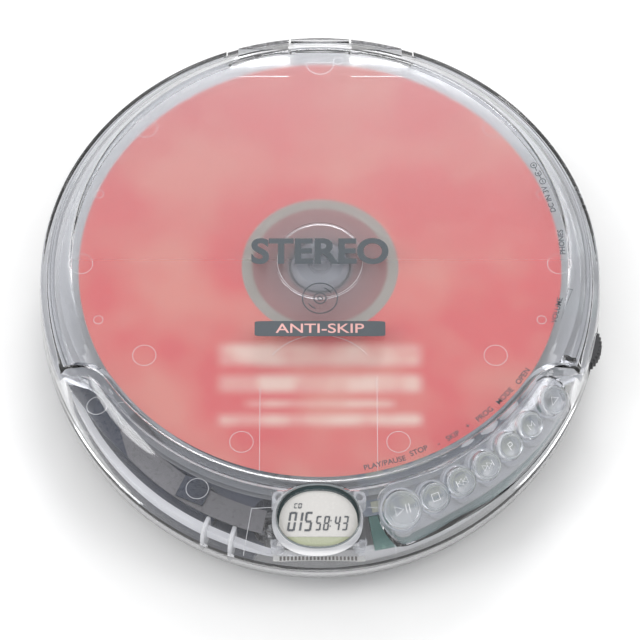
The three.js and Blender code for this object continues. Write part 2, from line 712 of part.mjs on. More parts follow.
add('main_board', mainBoard(), 'board');
add('chip_decoder', chip(45, -2, [13, 13, 1.5], PCB_Z[1]), 'black');
add('chip_memory', chip(34, 6, [8, 14, 1.3], PCB_Z[1]), 'black');
add('chip_servo', chip(52, 33.5, [9, 7, 1.6], PCB_Z[1]), 'black');
add('capacitor_1', post(33, -16, 3, [PCB_Z[1] + GAP, 16.2], 20), 'black');
add('capacitor_2', post(41, -16.5, 2.5, [PCB_Z[1] + GAP, 15], 20), 'black');
add('crystal', chip(47, -13.5, [4, 8, 3], PCB_Z[1]), 'steel');
add('phones_jack', phonesJack(), 'black');
add('dc_jack', dcJack(), 'black');
add('volume_pot', chip(60.2, WHEEL.y, [8, 9, 3.6], PCB_Z[1]), 'black');
add('volume_wheel', toothed(WHEEL.r, 0.4, 30, WHEEL.z), 'black', WHEEL.x, WHEEL.y, 0);
const hook = join(
  box([LATCH.x - 2.6, LATCH.x + 0.6], [LATCH.y - 4.4, LATCH.y - 1.6], [13.2, 17.8]),
  box([LATCH.x - 7.5, LATCH.x - 2.4], [LATCH.y - 4.4, LATCH.y - 2.4], [13.2, 15.1]),
);
add('latch_hook', hook, 'white');

add('battery_box', batteryBox(), 'smoke');
[-1, 1].forEach((side, i) => {
  const at = frameAt(0, side * (CELL_R + GAP), CELL_Z, side < 0 ? Math.PI : 0);
  add(`cell_${i + 1}`, placed(placed(cell(), at), doorFrame), 'cell');
  const x = side * 26.3;
  const plate = box([x - 0.25, x + 0.25], [-12, 12], [5, 15]);
  add(`battery_contact_${i + 1}`, placed(plate, doorFrame), 'steel');
});

SCREWS.forEach(([x, y], i) => {
  const screw = join(post(x, y, 2.3, [1.3, 2.9], 12), post(x, y, 1.05, [2.8, 11], 8));
  add(`screw_${i + 1}`, screw, 'steel');
});
FEET.forEach(([x, y], i) => {
  add(`foot_${i + 1}`, post(x, y, 5, [0, FOOT_H - GAP], 16), 'rubber');
});

export default player;
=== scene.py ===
"""Portable CD player in clear plastic: the looks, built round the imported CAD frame.

Lengths are in millimetres from the disc's axis until to_frame() turns them into metres.
"""
import json
import math

import bpy
from mathutils import Matrix, Vector


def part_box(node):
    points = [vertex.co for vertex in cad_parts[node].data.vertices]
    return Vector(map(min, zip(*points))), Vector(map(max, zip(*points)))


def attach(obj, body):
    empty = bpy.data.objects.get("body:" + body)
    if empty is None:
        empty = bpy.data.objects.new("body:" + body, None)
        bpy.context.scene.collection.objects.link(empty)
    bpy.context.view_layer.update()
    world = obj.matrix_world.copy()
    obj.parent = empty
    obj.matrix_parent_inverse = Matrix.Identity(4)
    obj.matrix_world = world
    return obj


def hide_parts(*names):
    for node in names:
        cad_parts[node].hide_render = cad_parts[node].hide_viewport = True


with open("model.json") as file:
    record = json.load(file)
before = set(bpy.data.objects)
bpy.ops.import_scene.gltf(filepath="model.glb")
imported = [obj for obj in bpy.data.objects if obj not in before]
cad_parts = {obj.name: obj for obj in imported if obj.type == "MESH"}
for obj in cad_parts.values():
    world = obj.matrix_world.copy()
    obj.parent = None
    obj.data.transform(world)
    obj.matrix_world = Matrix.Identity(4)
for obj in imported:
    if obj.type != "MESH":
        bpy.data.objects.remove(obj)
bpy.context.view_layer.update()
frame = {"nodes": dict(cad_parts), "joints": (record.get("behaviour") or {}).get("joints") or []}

MM = 0.001
scene = bpy.context.scene


# ---- places read from the frame ----
def cad_centre(node):
    lo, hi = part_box(node)
    return (Vector(lo) + Vector(hi)) / 2 / MM


AXIS_Y = cad_centre("compact_disc").y


def cad_mid(node):
    """Middle of a CAD node, in mm from the disc's axis."""
    return cad_centre(node) - Vector((0, AXIS_Y, 0))


def to_frame(point):
    return Vector((point[0], point[1] + AXIS_Y, point[2])) * MM


# ---- the form's dimensions, as in the CAD ----
GAP = 0.3
WALL = 1.6
BODY_R = 70.2
BODY_FRONT = 78.8
FOOT_H = 1
PARTING_Z = 12.5
TOP_Z = 28
EDGE_R = 10
PLATEAU_R = 62.3
LID_T = 2
LID_INSET = 2.8
LID_BOTTOM_Z = 22.6
LID_GAP = 0.35
EAR_Y = -54.5
EAR_ANGLE = 0.4
EAR_FILLET = 12
HINGE_Y = 65.6
HINGE_Z = 20.6
ARM_X = (8, 20.9)
NOTCH_X = 24
WELL_FLOOR_Z = 18.4
WELL_FLOOR_T = 1.4
WELL_RING_R = (64.3, 65.5)
WELL_RING_TOP = 22.3
DECK_BLEND = (58, 70)
RIM = ((6.0, 26.3), (4.2, 24.6), (2.7, 22.9), (1.2, 22.4), (0.6, 21.7), (0.15, 17.2))
BUTTON_R = {"play": 4.5, "stop": 3.4, "skip_back": 3.4, "skip_forward": 3.4,
            "program": 3.3, "mode": 3.3, "open": 3.5}
BUTTON_MIDDLE = 0.55
KIDNEY_ENDS = ((71.4, 16.2), (68.7, 56))
KIDNEY_HALF = (6.2, 5.1)
KIDNEY_SHIFT = 0.5
KIDNEY_BOTTOM = 17
KEY_RECESS = 1.0
LCD_TILT = math.radians(29.5)
LCD_SIZE = (20.4, 15.6)
SCREWS = ((-30, 50), (30, 50), (24, -62), (-12, -66))
LATCH = (61, -26.2)
WHEEL_R = 8
BATTERY_TURN = -0.672
BATTERY_OUT = 46.5
DISC_HOLE_R = 7.5
DISC_R = 60
DISC_Z = (21.8, 23.0)
LABEL_R = 64
LCD_WINDOW_OVAL = (19.5, 14.7)
CLEAR_IOR = 1.49
PRINT_LIFT = 0.02
SMOKE_Z = 18.4

STEPS = 160
SHARP = 0.6
LYING = Matrix.Rotation(math.pi / 2, 4, "Y")


# ---- meshes ----
def linked(name, data):
    obj = bpy.data.objects.new(name, data)
    scene.collection.objects.link(obj)
    return obj


def raw_object(name, verts, faces):
    mesh = bpy.data.meshes.new(name)
    mesh.from_pydata(verts, [], faces)
    mesh.update()
    return linked(name, mesh)


def mesh_object(name, verts, faces, at=Matrix()):
    return raw_object(name, [to_frame(at @ Vector(v)) for v in verts], faces)


def evaluated_mesh(obj):
    graph = bpy.context.evaluated_depsgraph_get()
    return bpy.data.meshes.new_from_object(obj.evaluated_get(graph))


def curve_mesh(name, curve):
    holder = linked(name, curve)
    mesh = evaluated_mesh(holder)
    bpy.data.objects.remove(holder)
    return mesh


def combine(kind, base, *tools):
    for tool in tools:
        mod = base.modifiers.new(tool.name, "BOOLEAN")
        mod.operation, mod.solver, mod.object = kind, "MANIFOLD", tool
    mesh = evaluated_mesh(base)
    base.modifiers.clear()
    base.data = mesh
    for tool in tools:
        bpy.data.objects.remove(tool)
    return base


def join(base, *tools):
    return combine("UNION", base, *tools)


def cut(base, *tools):
    return combine("DIFFERENCE", base, *tools)


def common(base, *tools):
    return combine("INTERSECT", base, *tools)


def prism(outline, z, at=Matrix()):
    n = len(outline)
    verts = [(x, y, z[0]) for x, y in outline] + [(x, y, z[1]) for x, y in outline]
    faces = [list(reversed(range(n))), list(range(n, 2 * n))]
    faces += [(i, (i + 1) % n, n + (i + 1) % n, n + i) for i in range(n)]
    return mesh_object("prism", verts, faces, at)


def block(x, y, z, at=Matrix()):
    x, y = sorted(x), sorted(y)
    return prism([(x[0], y[0]), (x[1], y[0]), (x[1], y[1]), (x[0], y[1])], z, at)


def lathe(profile, steps=64, at=Matrix(), closed=False):
    """A turned solid about local Z. The profile of (radius, height) runs anticlockwise."""
    verts, faces, rows = [], [], []
    for r, z in profile:
        count = steps if r > 1e-6 else 1
        rows.append(range(len(verts), len(verts) + count))
        for i in range(count):
            a = 2 * math.pi * i / steps
            verts.append((r * math.cos(a), r * math.sin(a), z))
    for a, b in zip(rows, rows[1:] + (rows[:1] if closed else [])):
        for i in range(steps):
            j = (i + 1) % steps
            face = []
            for v in (a[i % len(a)], a[j % len(a)], b[j % len(b)], b[i % len(b)]):
                if v not in face:
                    face.append(v)
            if len(face) > 2:
                faces.append(face)
    return mesh_object("lathe", verts, faces, at)


def tube(r, z, steps=STEPS, at=Matrix()):
    ring = [(r[0], z[0]), (r[1], z[0]), (r[1], z[1]), (r[0], z[1])]
    return lathe(ring, steps, at, closed=True)


def post(r, z, at=Matrix(), steps=48):
    return lathe([(0, z[0]), (r, z[0]), (r, z[1]), (0, z[1])], steps, at)


def place(x=0, y=0, z=0, turn=0.0, tilt=0.0):
    return (Matrix.Translation((x, y, z)) @ Matrix.Rotation(turn, 4, "Z")
            @ Matrix.Rotation(tilt, 4, "X"))


def raised(at, z, x=0, y=0):
    return at @ Matrix.Translation((x, y, z))


def bar(r, x, at):
    """A round bar along local X."""
    return post(r, sorted(x), at @ LYING, steps=32)


def wires(name, lines, radius, at=Matrix()):
    """Fine round ridges along lines of (x, y) or (x, y, z) points.

    A line that ends where it starts is closed.
    """
    curve = bpy.data.curves.new(name, "CURVE")
    curve.dimensions = "3D"
    curve.bevel_depth = radius * MM
    curve.bevel_resolution = 2
    for line in lines:
        closed = (Vector(line[0]) - Vector(line[-1])).length < 1e-6
        points = line[:-1] if closed else line
        spline = curve.splines.new("POLY")
        spline.points.add(len(points) - 1)
        spline.use_cyclic_u = closed
        for p, target in zip(points, spline.points):
            target.co = (*to_frame(at @ Vector((*p, 0)[:3])), 1)
    return linked(name, curve_mesh(name, curve))


def circle(r, x=0.0, y=0.0, z=0.0, steps=48, start=0.0, end=2 * math.pi):
    whole = end - start > 6.28
    turns = [start + (end - start) * i / steps for i in range(steps)] + [start if whole else end]
    return [(x + r * math.cos(a), y + r * math.sin(a), z) for a in turns]


def lettering(name, text, size, at, depth=0.03, weight=0.0, stretch=1.0):
    curve = bpy.data.curves.new(name, "FONT")
    curve.body = text
    curve.size = size
    curve.align_x = "CENTER"
    curve.align_y = "CENTER"
    curve.extrude = depth / 2
    curve.offset = weight
    mesh = curve_mesh(name, curve)
    wider = Matrix.Diagonal((stretch, 1, 1, 1))
    for v in mesh.vertices:
        v.co = to_frame(at @ wider @ v.co)
    return linked(name, mesh)


def merged(name, *objs):
    """One piece from several separate meshes."""
    verts, faces = [], []
    for obj in objs:
        start = len(verts)
        verts += [v.co.copy() for v in obj.data.vertices]
        faces += [[start + i for i in p.vertices] for p in obj.data.polygons]
        bpy.data.objects.remove(obj)
    return raw_object(name, verts, faces)


def soften(obj, width, segments=2):
    mod = obj.modifiers.new("edges", "BEVEL")
    mod.width = width * MM
    mod.segments = segments
    mod.limit_method = "ANGLE"
    mod.angle_limit = SHARP
    return obj


def smooth(obj, angle):
    obj.data.shade_smooth()
    obj.data.set_sharp_from_angle(angle=angle)
    mod = obj.modifiers.new("weights", "WEIGHTED_NORMAL")
    mod.keep_sharp = True
    return obj


def piece(obj, name, body, slot, looks, replaces=(), angle=SHARP):
    """Finishes a visible piece. The looks are keys of MAT, with spaces between."""
    obj.name = name
    obj.data.name = name
    obj.data.materials.clear()
    for look in looks.split():
        obj.data.materials.append(MAT[look])
    smooth(obj, angle)
    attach(obj, body)
    if replaces:
        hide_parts(*replaces)
    return obj


# ---- materials ----
def new_material(name):
    material = bpy.data.materials.new(name)
    material.use_nodes = True
    tree = material.node_tree
    return material, tree, tree.nodes["Principled BSDF"]


def node(tree, kind, **values):
    made = tree.nodes.new(kind)
    for key, value in values.items():
        if key in made.inputs:
            made.inputs[key].default_value = value
        else:
            setattr(made, key, value)
    return made


def ramp(tree, source, stops):
    made = tree.nodes.new("ShaderNodeValToRGB")
    elements = made.color_ramp.elements
    while len(elements) < len(stops):
        elements.new(0.5)
    for element, (position, colour) in zip(elements, stops):
        element.position = position
        element.color = (*colour, 1)
    tree.links.new(source, made.inputs["Fac"])
    return made.outputs["Color"]


def spread(tree, source, low, high, start=0.3, end=0.7):
    made = node(tree, "ShaderNodeMapRange", **{"From Min": start, "From Max": end,
                                               "To Min": low, "To Max": high})
    tree.links.new(source, made.inputs["Value"])
    return made.outputs["Result"]


def noise(tree, scale, detail=3, offset=(0, 0, 0), stretch=(1, 1, 1)):
    place_node = node(tree, "ShaderNodeMapping", Location=offset, Scale=stretch)
    coords = tree.nodes.new("ShaderNodeTexCoord")
    tree.links.new(coords.outputs["Object"], place_node.inputs["Vector"])
    made = node(tree, "ShaderNodeTexNoise", Scale=scale, Detail=detail)
    tree.links.new(place_node.outputs["Vector"], made.inputs["Vector"])
    return made.outputs["Fac"]


def bumped(tree, shader, height, distance):
    bump = node(tree, "ShaderNodeBump", Strength=1.0, Distance=distance * MM)
    tree.links.new(height, bump.inputs["Height"])
    tree.links.new(bump.outputs["Normal"], shader.inputs["Normal"])


def feed(tree, source, target):
    """Gives an input a link from a socket, or a plain value."""
    if isinstance(source, bpy.types.NodeSocket):
        tree.links.new(source, target)
    else:
        target.default_value = source


def calculated(tree, operation, *values):
    made = node(tree, "ShaderNodeMath", operation=operation)
    for value, target in zip(values, made.inputs):
        feed(tree, value, target)
    return made.outputs["Value"]


def blended(tree, share, first, second):
    """A colour between two others, by share."""
    made = node(tree, "ShaderNodeMix", data_type="RGBA")
    for value, target in ((share, "Factor"), (first, 6), (second, 7)):
        feed(tree, value, made.inputs[target])
    return made.outputs[2]


def object_axes(tree, source=None):
    if source is None:
        source = tree.nodes.new("ShaderNodeTexCoord").outputs["Object"]
    axes = tree.nodes.new("ShaderNodeSeparateXYZ")
    tree.links.new(source, axes.inputs["Vector"])
    return axes


def scaled(colour, factor):
    return tuple(min(1.0, c * factor) for c in colour)


def moulded(name, colour, rough, variation=0.12, metallic=0.0, grain=900, depth=0.02,
            stretch=(1, 1, 1), **sockets):
    """An opaque surface with a soft change of colour, uneven gloss and a fine grain."""
    material, tree, shader = new_material(name)
    broad = noise(tree, 60, 4)
    fine = noise(tree, grain, 2, stretch=stretch)
    tone = ramp(tree, broad, [(0.3, scaled(colour, 1 - variation)),
                              (0.7, scaled(colour, 1 + variation))])
    tree.links.new(tone, shader.inputs["Base Color"])
    tree.links.new(spread(tree, fine, rough * 0.8, rough * 1.2), shader.inputs["Roughness"])
    bumped(tree, shader, fine, depth)
    shader.inputs["Metallic"].default_value = metallic
    for key, value in sockets.items():
        shader.inputs[key.replace("_", " ")].default_value = value
    return material


def clear(name, tint, rough, haze=0.0, variation=0.02, grain=300, depth=0.004, shade=0.9,
          front_to_back=False, speckled=False):
    """See-through plastic. Lamps shine through it, so what is inside is lit."""
    material, tree, shader = new_material(name)
    broad = noise(tree, 40, 3)
    fine = noise(tree, grain, 2)
    tone = ramp(tree, fine if speckled else broad,
                [(0.4 if speckled else 0.3, scaled(tint, 1 - variation)), (0.7, tint)])
    tree.links.new(tone, shader.inputs["Base Color"])
    rough_source = spread(tree, broad, *rough)
    if front_to_back:
        rough_source = spread(tree, object_axes(tree).outputs["Y"], *rough, -0.05, 0.06)
    tree.links.new(rough_source, shader.inputs["Roughness"])
    bumped(tree, shader, fine, depth)
    shader.inputs["Transmission Weight"].default_value = 1 - haze
    shader.inputs["IOR"].default_value = CLEAR_IOR
    thin = node(tree, "ShaderNodeBsdfTransparent", Color=(*scaled(tint, shade), 1))
    rays = tree.nodes.new("ShaderNodeLightPath").outputs
    either = calculated(tree, "MAXIMUM", rays["Is Shadow Ray"], rays["Is Diffuse Ray"])
    mix = tree.nodes.new("ShaderNodeMixShader")
    tree.links.new(either, mix.inputs["Fac"])
    tree.links.new(shader.outputs["BSDF"], mix.inputs[1])
    tree.links.new(thin.outputs["BSDF"], mix.inputs[2])
    tree.links.new(mix.outputs["Shader"], tree.nodes["Material Output"].inputs["Surface"])
    return material


def disc_material():
    """A printed label: soft reds, paler towards the back, over a clear middle."""
    material, tree, shader = new_material("disc_label")
    coords = tree.nodes.new("ShaderNodeTexCoord")
    centred = node(tree, "ShaderNodeMapping", Location=(0, -AXIS_Y * MM, 0))
    per_radius = 1 / (LABEL_R * MM)
    flat = node(tree, "ShaderNodeMapping", Scale=(per_radius, per_radius, 0))
    length = node(tree, "ShaderNodeVectorMath", operation="LENGTH")
    tree.links.new(coords.outputs["Object"], centred.inputs["Vector"])
    tree.links.new(centred.outputs["Vector"], flat.inputs["Vector"])
    tree.links.new(flat.outputs["Vector"], length.inputs[0])
    axes = object_axes(tree, flat.outputs["Vector"])
    red = (0.7, 0.05, 0.055)
    pale = (0.72, 0.19, 0.145)
    cloud = noise(tree, 34, 2, offset=(0.31, 0.12, 0))
    print_tone = ramp(tree, cloud, [(0.42, red), (0.62, pale)])
    back = ramp(tree, spread(tree, axes.outputs["Y"], 0, 1, -0.1, 0.9),
                [(0.0, (0, 0, 0)), (1.0, (0.5, 0.5, 0.5))])
    mixed = blended(tree, back, print_tone, (0.6, 0.2, 0.195, 1))
    listed = blended(tree, blurred_bars(tree, axes), mixed, (0.84, 0.56, 0.47, 1))
    hub = ramp(tree, length.outputs["Value"], [
        (0.0, (1, 1, 1)), (16.6 / LABEL_R, (1, 1, 1)), (17.2 / LABEL_R, (0.45, 0.45, 0.45)),
        (19.0 / LABEL_R, (0.45, 0.45, 0.45)), (19.4 / LABEL_R, (0, 0, 0)), (1.0, (0, 0, 0))])
    middle = ramp(tree, length.outputs["Value"], [
        (7.6 / LABEL_R, (0.13, 0.12, 0.14)), (8.6 / LABEL_R, (0.2, 0.1, 0.105)),
        (16.4 / LABEL_R, (0.27, 0.09, 0.09)), (17.2 / LABEL_R, (0.3, 0.27, 0.235))])
    inside = calculated(tree, "GREATER_THAN", hub, 0.01)
    tree.links.new(blended(tree, inside, listed, middle), shader.inputs["Base Color"])
    fine = noise(tree, 1200, 2)
    tree.links.new(spread(tree, fine, 0.28, 0.4), shader.inputs["Roughness"])
    bumped(tree, shader, fine, 0.004)
    shader.inputs["Coat Weight"].default_value = 0.3
    return material


def blurred_bars(tree, axes):
    """Soft pale rows on the front half of the label, with no letters in them."""
    total = None
    rows = ((-0.394, 0.045, 0.385), (-0.52, 0.035, 0.385), (-0.608, 0.012, 0.28),
            (-0.677, 0.022, 0.385))
    for middle, half, reach in rows:
        row = window(tree, axes.outputs["Y"], middle, half, 0.028)
        across = window(tree, axes.outputs["X"], 0.0, reach, 0.03)
        both = calculated(tree, "MULTIPLY", row, across)
        total = both if total is None else calculated(tree, "MAXIMUM", total, both)
    patch = spread(tree, noise(tree, 110, 1, stretch=(1, 0.6, 1)), 0.5, 1.0, 0.36, 0.6)
    return calculated(tree, "MULTIPLY", total, patch)


def window(tree, source, middle, half, edge):
    """1 within half of middle, falling softly to 0."""
    away = calculated(tree, "ABSOLUTE", calculated(tree, "SUBTRACT", source, middle))
    made = node(tree, "ShaderNodeMapRange", interpolation_type="SMOOTHSTEP",
                **{"From Min": half - edge, "From Max": half + edge, "To Min": 1.0, "To Max": 0.0})
    tree.links.new(away, made.inputs["Value"])
    return made.outputs["Result"]


def board_material(name, mask, track):
    """Solder mask with fine square tracks."""
    material, tree, shader = new_material(name)
    coords = tree.nodes.new("ShaderNodeTexCoord")
    cells = node(tree, "ShaderNodeTexVoronoi", Scale=420, distance="MANHATTAN")
    tree.links.new(coords.outputs["Object"], cells.inputs["Vector"])
    tone = ramp(tree, cells.outputs["Distance"], [(0.25, track), (0.34, mask)])
    tree.links.new(tone, shader.inputs["Base Color"])
    tree.links.new(spread(tree, noise(tree, 500, 2), 0.3, 0.5), shader.inputs["Roughness"])
    bumped(tree, shader, cells.outputs["Distance"], 0.02)
    return material


CLEAR_TINT = (0.925, 0.93, 0.945)
MAT = {
    "clear": clear("clear_plastic", CLEAR_TINT, (0.02, 0.05)),
    "lid_frost": clear("clear_fine_matt", (0.95, 0.95, 0.96), (0.15, 0.4), haze=0.06,
                       front_to_back=True),
    "well_frost": clear("clear_matt", (0.8, 0.81, 0.83), (0.35, 0.45), haze=0.4),
    "ridge": clear("clear_ridge", (0.98, 0.98, 0.99), (0.15, 0.25), haze=0.6),
    "frosted": clear("frosted_plastic", (0.82, 0.83, 0.86), (0.1, 0.18), haze=0.06),
    "cap": clear("button_plastic", (0.82, 0.84, 0.87), (0.2, 0.3), haze=0.12),
    # Pale haze: used for the button glyphs and the lid marks, and for the painted highlight strip
    # along the cover's inner wall.
    "band": clear("pale_haze_and_painted_highlight", (0.98, 0.98, 1.0), (0.3, 0.4), haze=0.85),
    "base": clear("clear_plastic_base", (0.74, 0.74, 0.75), (0.03, 0.06)),
    "window": clear("display_window", (0.99, 0.99, 1.0), (0.02, 0.04), shade=1.0),
    "speckle": clear("clear_speckled", (0.8, 0.8, 0.82), (0.3, 0.4), haze=0.15,
                     variation=0.7, grain=1400, speckled=True),
    "silver": moulded("disc_silver", (0.72, 0.74, 0.78), 0.14, 0.06, metallic=1.0, depth=0.002),
    # Dark teal: the painted shade and dark reflection inside the top of the display's recess.
    "teal": moulded("bezel_shade", (0.012, 0.03, 0.033), 0.15, 0.3, depth=0.001),
    "strip": moulded("key_strip", (0.32, 0.36, 0.42), 0.4, 0.1),
    "pads": moulded("key_pads", (0.62, 0.63, 0.5), 0.45, 0.1),
    "pin": moulded("pin_bronze", (0.12, 0.1, 0.085), 0.35, 0.2, metallic=0.5),
    "step": moulded("smoke_step", (0.17, 0.165, 0.175), 0.3, 0.3, Coat_Weight=0.3),
    "navy": moulded("smoke_dark", (0.022, 0.03, 0.055), 0.3, 0.3),
    "label": disc_material(),
    "hub": moulded("hub_grey", (0.26, 0.27, 0.31), 0.35),
    "print": moulded("print_slate", (0.06, 0.072, 0.084), 0.5, depth=0.002),
    "print_pale": moulded("print_pale", (0.66, 0.36, 0.34), 0.5, depth=0.002),
    "smoke": moulded("smoke_plastic", (0.055, 0.066, 0.105), 0.22, 0.3, Coat_Weight=0.4),
    "white": moulded("white_plastic", (0.78, 0.77, 0.73), 0.45),
    "black": moulded("black_plastic", (0.03, 0.03, 0.033), 0.45),
    "rubber": moulded("rubber", (0.035, 0.035, 0.038), 0.75, grain=1500, depth=0.05),
    "chrome": moulded("chrome_trim", (0.3, 0.33, 0.34), 0.08, 0.05, metallic=1.0, depth=0.001),
    "steel": moulded("steel", (0.58, 0.59, 0.6), 0.3, 0.08, metallic=1.0, stretch=(1, 12, 1),
                     depth=0.003),
    "board": board_material("circuit_board", (0.07, 0.2, 0.17), (0.16, 0.33, 0.27)),
    "screen": moulded("lcd_face", (0.67, 0.655, 0.615), 0.25, 0.03, depth=0.001),
    "screen_low": moulded("lcd_lower_band", (0.47, 0.5, 0.34), 0.25, 0.06, depth=0.001),
    "segments": moulded("lcd_segments", (0.07, 0.08, 0.09), 0.4, depth=0.001),
    "cell": moulded("cell_jacket", (0.16, 0.22, 0.3), 0.3, 0.15, metallic=0.3),
}


# ---- the body's form, as in the CAD but finer ----
def outline_r(angle):
    depth = BODY_FRONT if math.sin(angle) < 0 else BODY_R
    return 1 / math.hypot(math.cos(angle) / BODY_R, math.sin(angle) / depth)


def front_share(angle):
    from_front = abs(math.degrees(math.atan2(math.cos(angle), -math.sin(angle))))
    t = min(1, max(0, (DECK_BLEND[1] - from_front) / (DECK_BLEND[1] - DECK_BLEND[0])))
    return t * t * (3 - 2 * t)


def rounded(points, rounds):
    """Cuts the corners of an open line of points, keeping its two ends."""
    for _ in range(rounds):
        new = [points[0]]
        for a, b in zip(points, points[1:]):
            new += [a.lerp(b, 0.25), a.lerp(b, 0.75)]
        points = new + [points[-1]]
    return points


def upper_profile(angle):
    outer = outline_r(angle)
    share = front_share(angle)
    points = [Vector((PLATEAU_R - 1, TOP_Z)), Vector((PLATEAU_R, TOP_Z))]
    for i, (inset, z) in enumerate(RIM):
        t = (i + 1) / (len(RIM) + 1) * math.pi / 2
        slope = Vector((PLATEAU_R + (outer - PLATEAU_R) * math.sin(t),
                        PARTING_Z + (TOP_Z - PARTING_Z) * math.cos(t)))
        points.append(Vector((outer - inset, z)).lerp(slope, share))
    points.append(Vector((outer, PARTING_Z)))
    return rounded(points, 2)


def lower_profile(angle):
    outer = outline_r(angle)
    points = [Vector((outer, PARTING_Z))]
    for i in range(11):
        t = i / 10 * math.pi / 2
        points.append(Vector((outer - EDGE_R + EDGE_R * math.cos(t),
                              FOOT_H + EDGE_R - EDGE_R * math.sin(t))))
    return points


def inset_profile(profile, inset, level):
    moved = []
    for i, point in enumerate(profile):
        along = (profile[min(i + 1, len(profile) - 1)] - profile[max(i - 1, 0)]).normalized()
        inwards = Vector((along.y, -along.x))
        if i == level:
            inwards = Vector((0, -1 if point.y > PARTING_Z else 1))
        if abs(point.y - PARTING_Z) < 1e-6:
            inwards = Vector((-1, 0))
        moved.append(point + inwards * inset)
    return moved


def ring_solid(profile_at, top_z, bottom_z):
    rings = [profile_at(i / STEPS * 2 * math.pi) for i in range(STEPS)]
    rows = len(rings[0])
    verts = [(0, 0, top_z), (0, 0, bottom_z)]
    for i, ring in enumerate(rings):
        a = i / STEPS * 2 * math.pi
        verts += [(p.x * math.cos(a), p.x * math.sin(a), p.y) for p in ring]
    faces = []
    for i in range(STEPS):
        a, b = 2 + i * rows, 2 + (i + 1) % STEPS * rows
        faces.append((0, a, b))
        faces += [(a + j, a + j + 1, b + j + 1, b + j) for j in range(rows - 1)]
        faces.append((1, b + rows - 1, a + rows - 1))
    return mesh_object("form", verts, faces)


def upper_form(inset, bottom_z):
    def profile_at(angle):
        profile = inset_profile(upper_profile(angle), inset, 0)
        return profile + [Vector((profile[-1].x, bottom_z))]
    return ring_solid(profile_at, TOP_Z - inset, bottom_z)


def lower_form(inset, top_z):
    def profile_at(angle):
        profile = lower_profile(angle)
        moved = inset_profile(profile, inset, len(profile) - 1)
        moved[0].y = top_z
        return moved
    return ring_solid(profile_at, top_z, FOOT_H + inset)


def arc(centre, r, start, end, steps):
    return [Vector((centre[0] + r * math.cos(start + (end - start) * i / steps),
                    centre[1] + r * math.sin(start + (end - start) * i / steps)))
            for i in range(steps + 1)]


def lid_outline(offset):
    along = Vector((math.cos(EAR_ANGLE), math.sin(EAR_ANGLE)))
    down = Vector((along.y, -along.x))
    base = Vector((0, EAR_Y)) + down * EAR_FILLET
    half_b = base.dot(along)
    c = base.length_squared - (PLATEAU_R - 0.1 + EAR_FILLET) ** 2
    centre = base + along * (-half_b + math.sqrt(half_b * half_b - c))
    touch = math.atan2(-centre.y, -centre.x)
    square = math.atan2(-down.y, -down.x)

    def edge(angle):
        r = outline_r(angle) - LID_INSET + offset
        return Vector((r * math.cos(angle), r * math.sin(angle)))

    ear = math.radians(-30)
    drop = offset / math.cos(EAR_ANGLE)
    while edge(ear).y < EAR_Y + edge(ear).x * math.tan(EAR_ANGLE) - drop:
        ear += 0.002
    right = arc((0, 0), PLATEAU_R - 0.1 + offset, -math.pi / 2,
                math.atan2(centre.y, centre.x), 40)[:-1]
    right += arc(centre, EAR_FILLET - offset, touch, square, 14)
    right += [edge(ear + (math.pi / 2 - ear) * i / 72) for i in range(73)]
    left = [Vector((-p.x, p.y)) for p in reversed(right[1:-1])]
    return [(p.x, p.y) for p in right + left]


def kidney(offset):
    def middle_at(t):
        turn = math.radians(KIDNEY_ENDS[0][1] * (1 - t) + KIDNEY_ENDS[1][1] * t - 90)
        r = KIDNEY_ENDS[0][0] * (1 - t) + KIDNEY_ENDS[1][0] * t - KIDNEY_SHIFT
        s = min(1, t * 4)
        half = KIDNEY_HALF[0] * (1 - s) + KIDNEY_HALF[1] * s + offset
        return turn, half, Vector((r * math.cos(turn), r * math.sin(turn)))

    points = []
    steps = 30
    for side in (1, -1):
        for i in range(steps + 1):
            turn, half, at = middle_at(i / steps if side > 0 else 1 - i / steps)
            points.append(at + side * half * Vector((math.cos(turn), math.sin(turn))))
        turn, half, at = middle_at(1 if side > 0 else 0)
        start = turn + (0.1 if side > 0 else math.pi + 0.1)
        points += arc(at, half, start, start + math.pi - 0.2, 16)
    return [(p.x, p.y) for p in points]


def button_place(name):
    """The cap's own frame: its origin on the surface, its Z along the press."""
    joint = next(j for j in frame["joints"] if j["name"] == name + "_press")
    normal = -Vector(joint["axis"])
    tilt = math.acos(normal.z)
    turn = math.atan2(normal.x, -normal.y)
    at = cad_mid("button_" + name) + normal * BUTTON_MIDDLE
    return place(*at, turn, tilt)


BUTTON_AT = {name: button_place(name) for name in BUTTON_R}
lcd_normal = Vector((0, -math.sin(LCD_TILT), math.cos(LCD_TILT)))
LCD_AT = place(*(cad_mid("lcd_window") + lcd_normal * 0.55), 0, LCD_TILT)
HINGE_AT = place(0, HINGE_Y, HINGE_Z)
PHONES_AT = place(0, 4, 12.2)
DC_AT = place(0, 0, 12.6, math.radians(20.5))


def oval(width, height, power=0.9, steps=72):
    points = []
    for i in range(steps):
        a = i / steps * 2 * math.pi
        c, s = math.cos(a), math.sin(a)
        points.append((math.copysign(abs(c) ** power, c) * width / 2,
                       math.copysign(abs(s) ** power, s) * height / 2))
    return points


def button_holes():
    return [post(r + GAP + 0.1, (-3.4, 6), BUTTON_AT[name]) for name, r in BUTTON_R.items()]


def jack_holes():
    return [bar(3.2, (60, 75), PHONES_AT), bar(3.6, (60, 75), DC_AT)]


def use_second(obj, test):
    """Gives the second material to the faces that the test picks, by middle and normal in mm."""
    for face in obj.data.polygons:
        middle = face.center / MM - Vector((0, AXIS_Y, 0))
        face.material_index = 1 if test(middle, face.normal) else 0


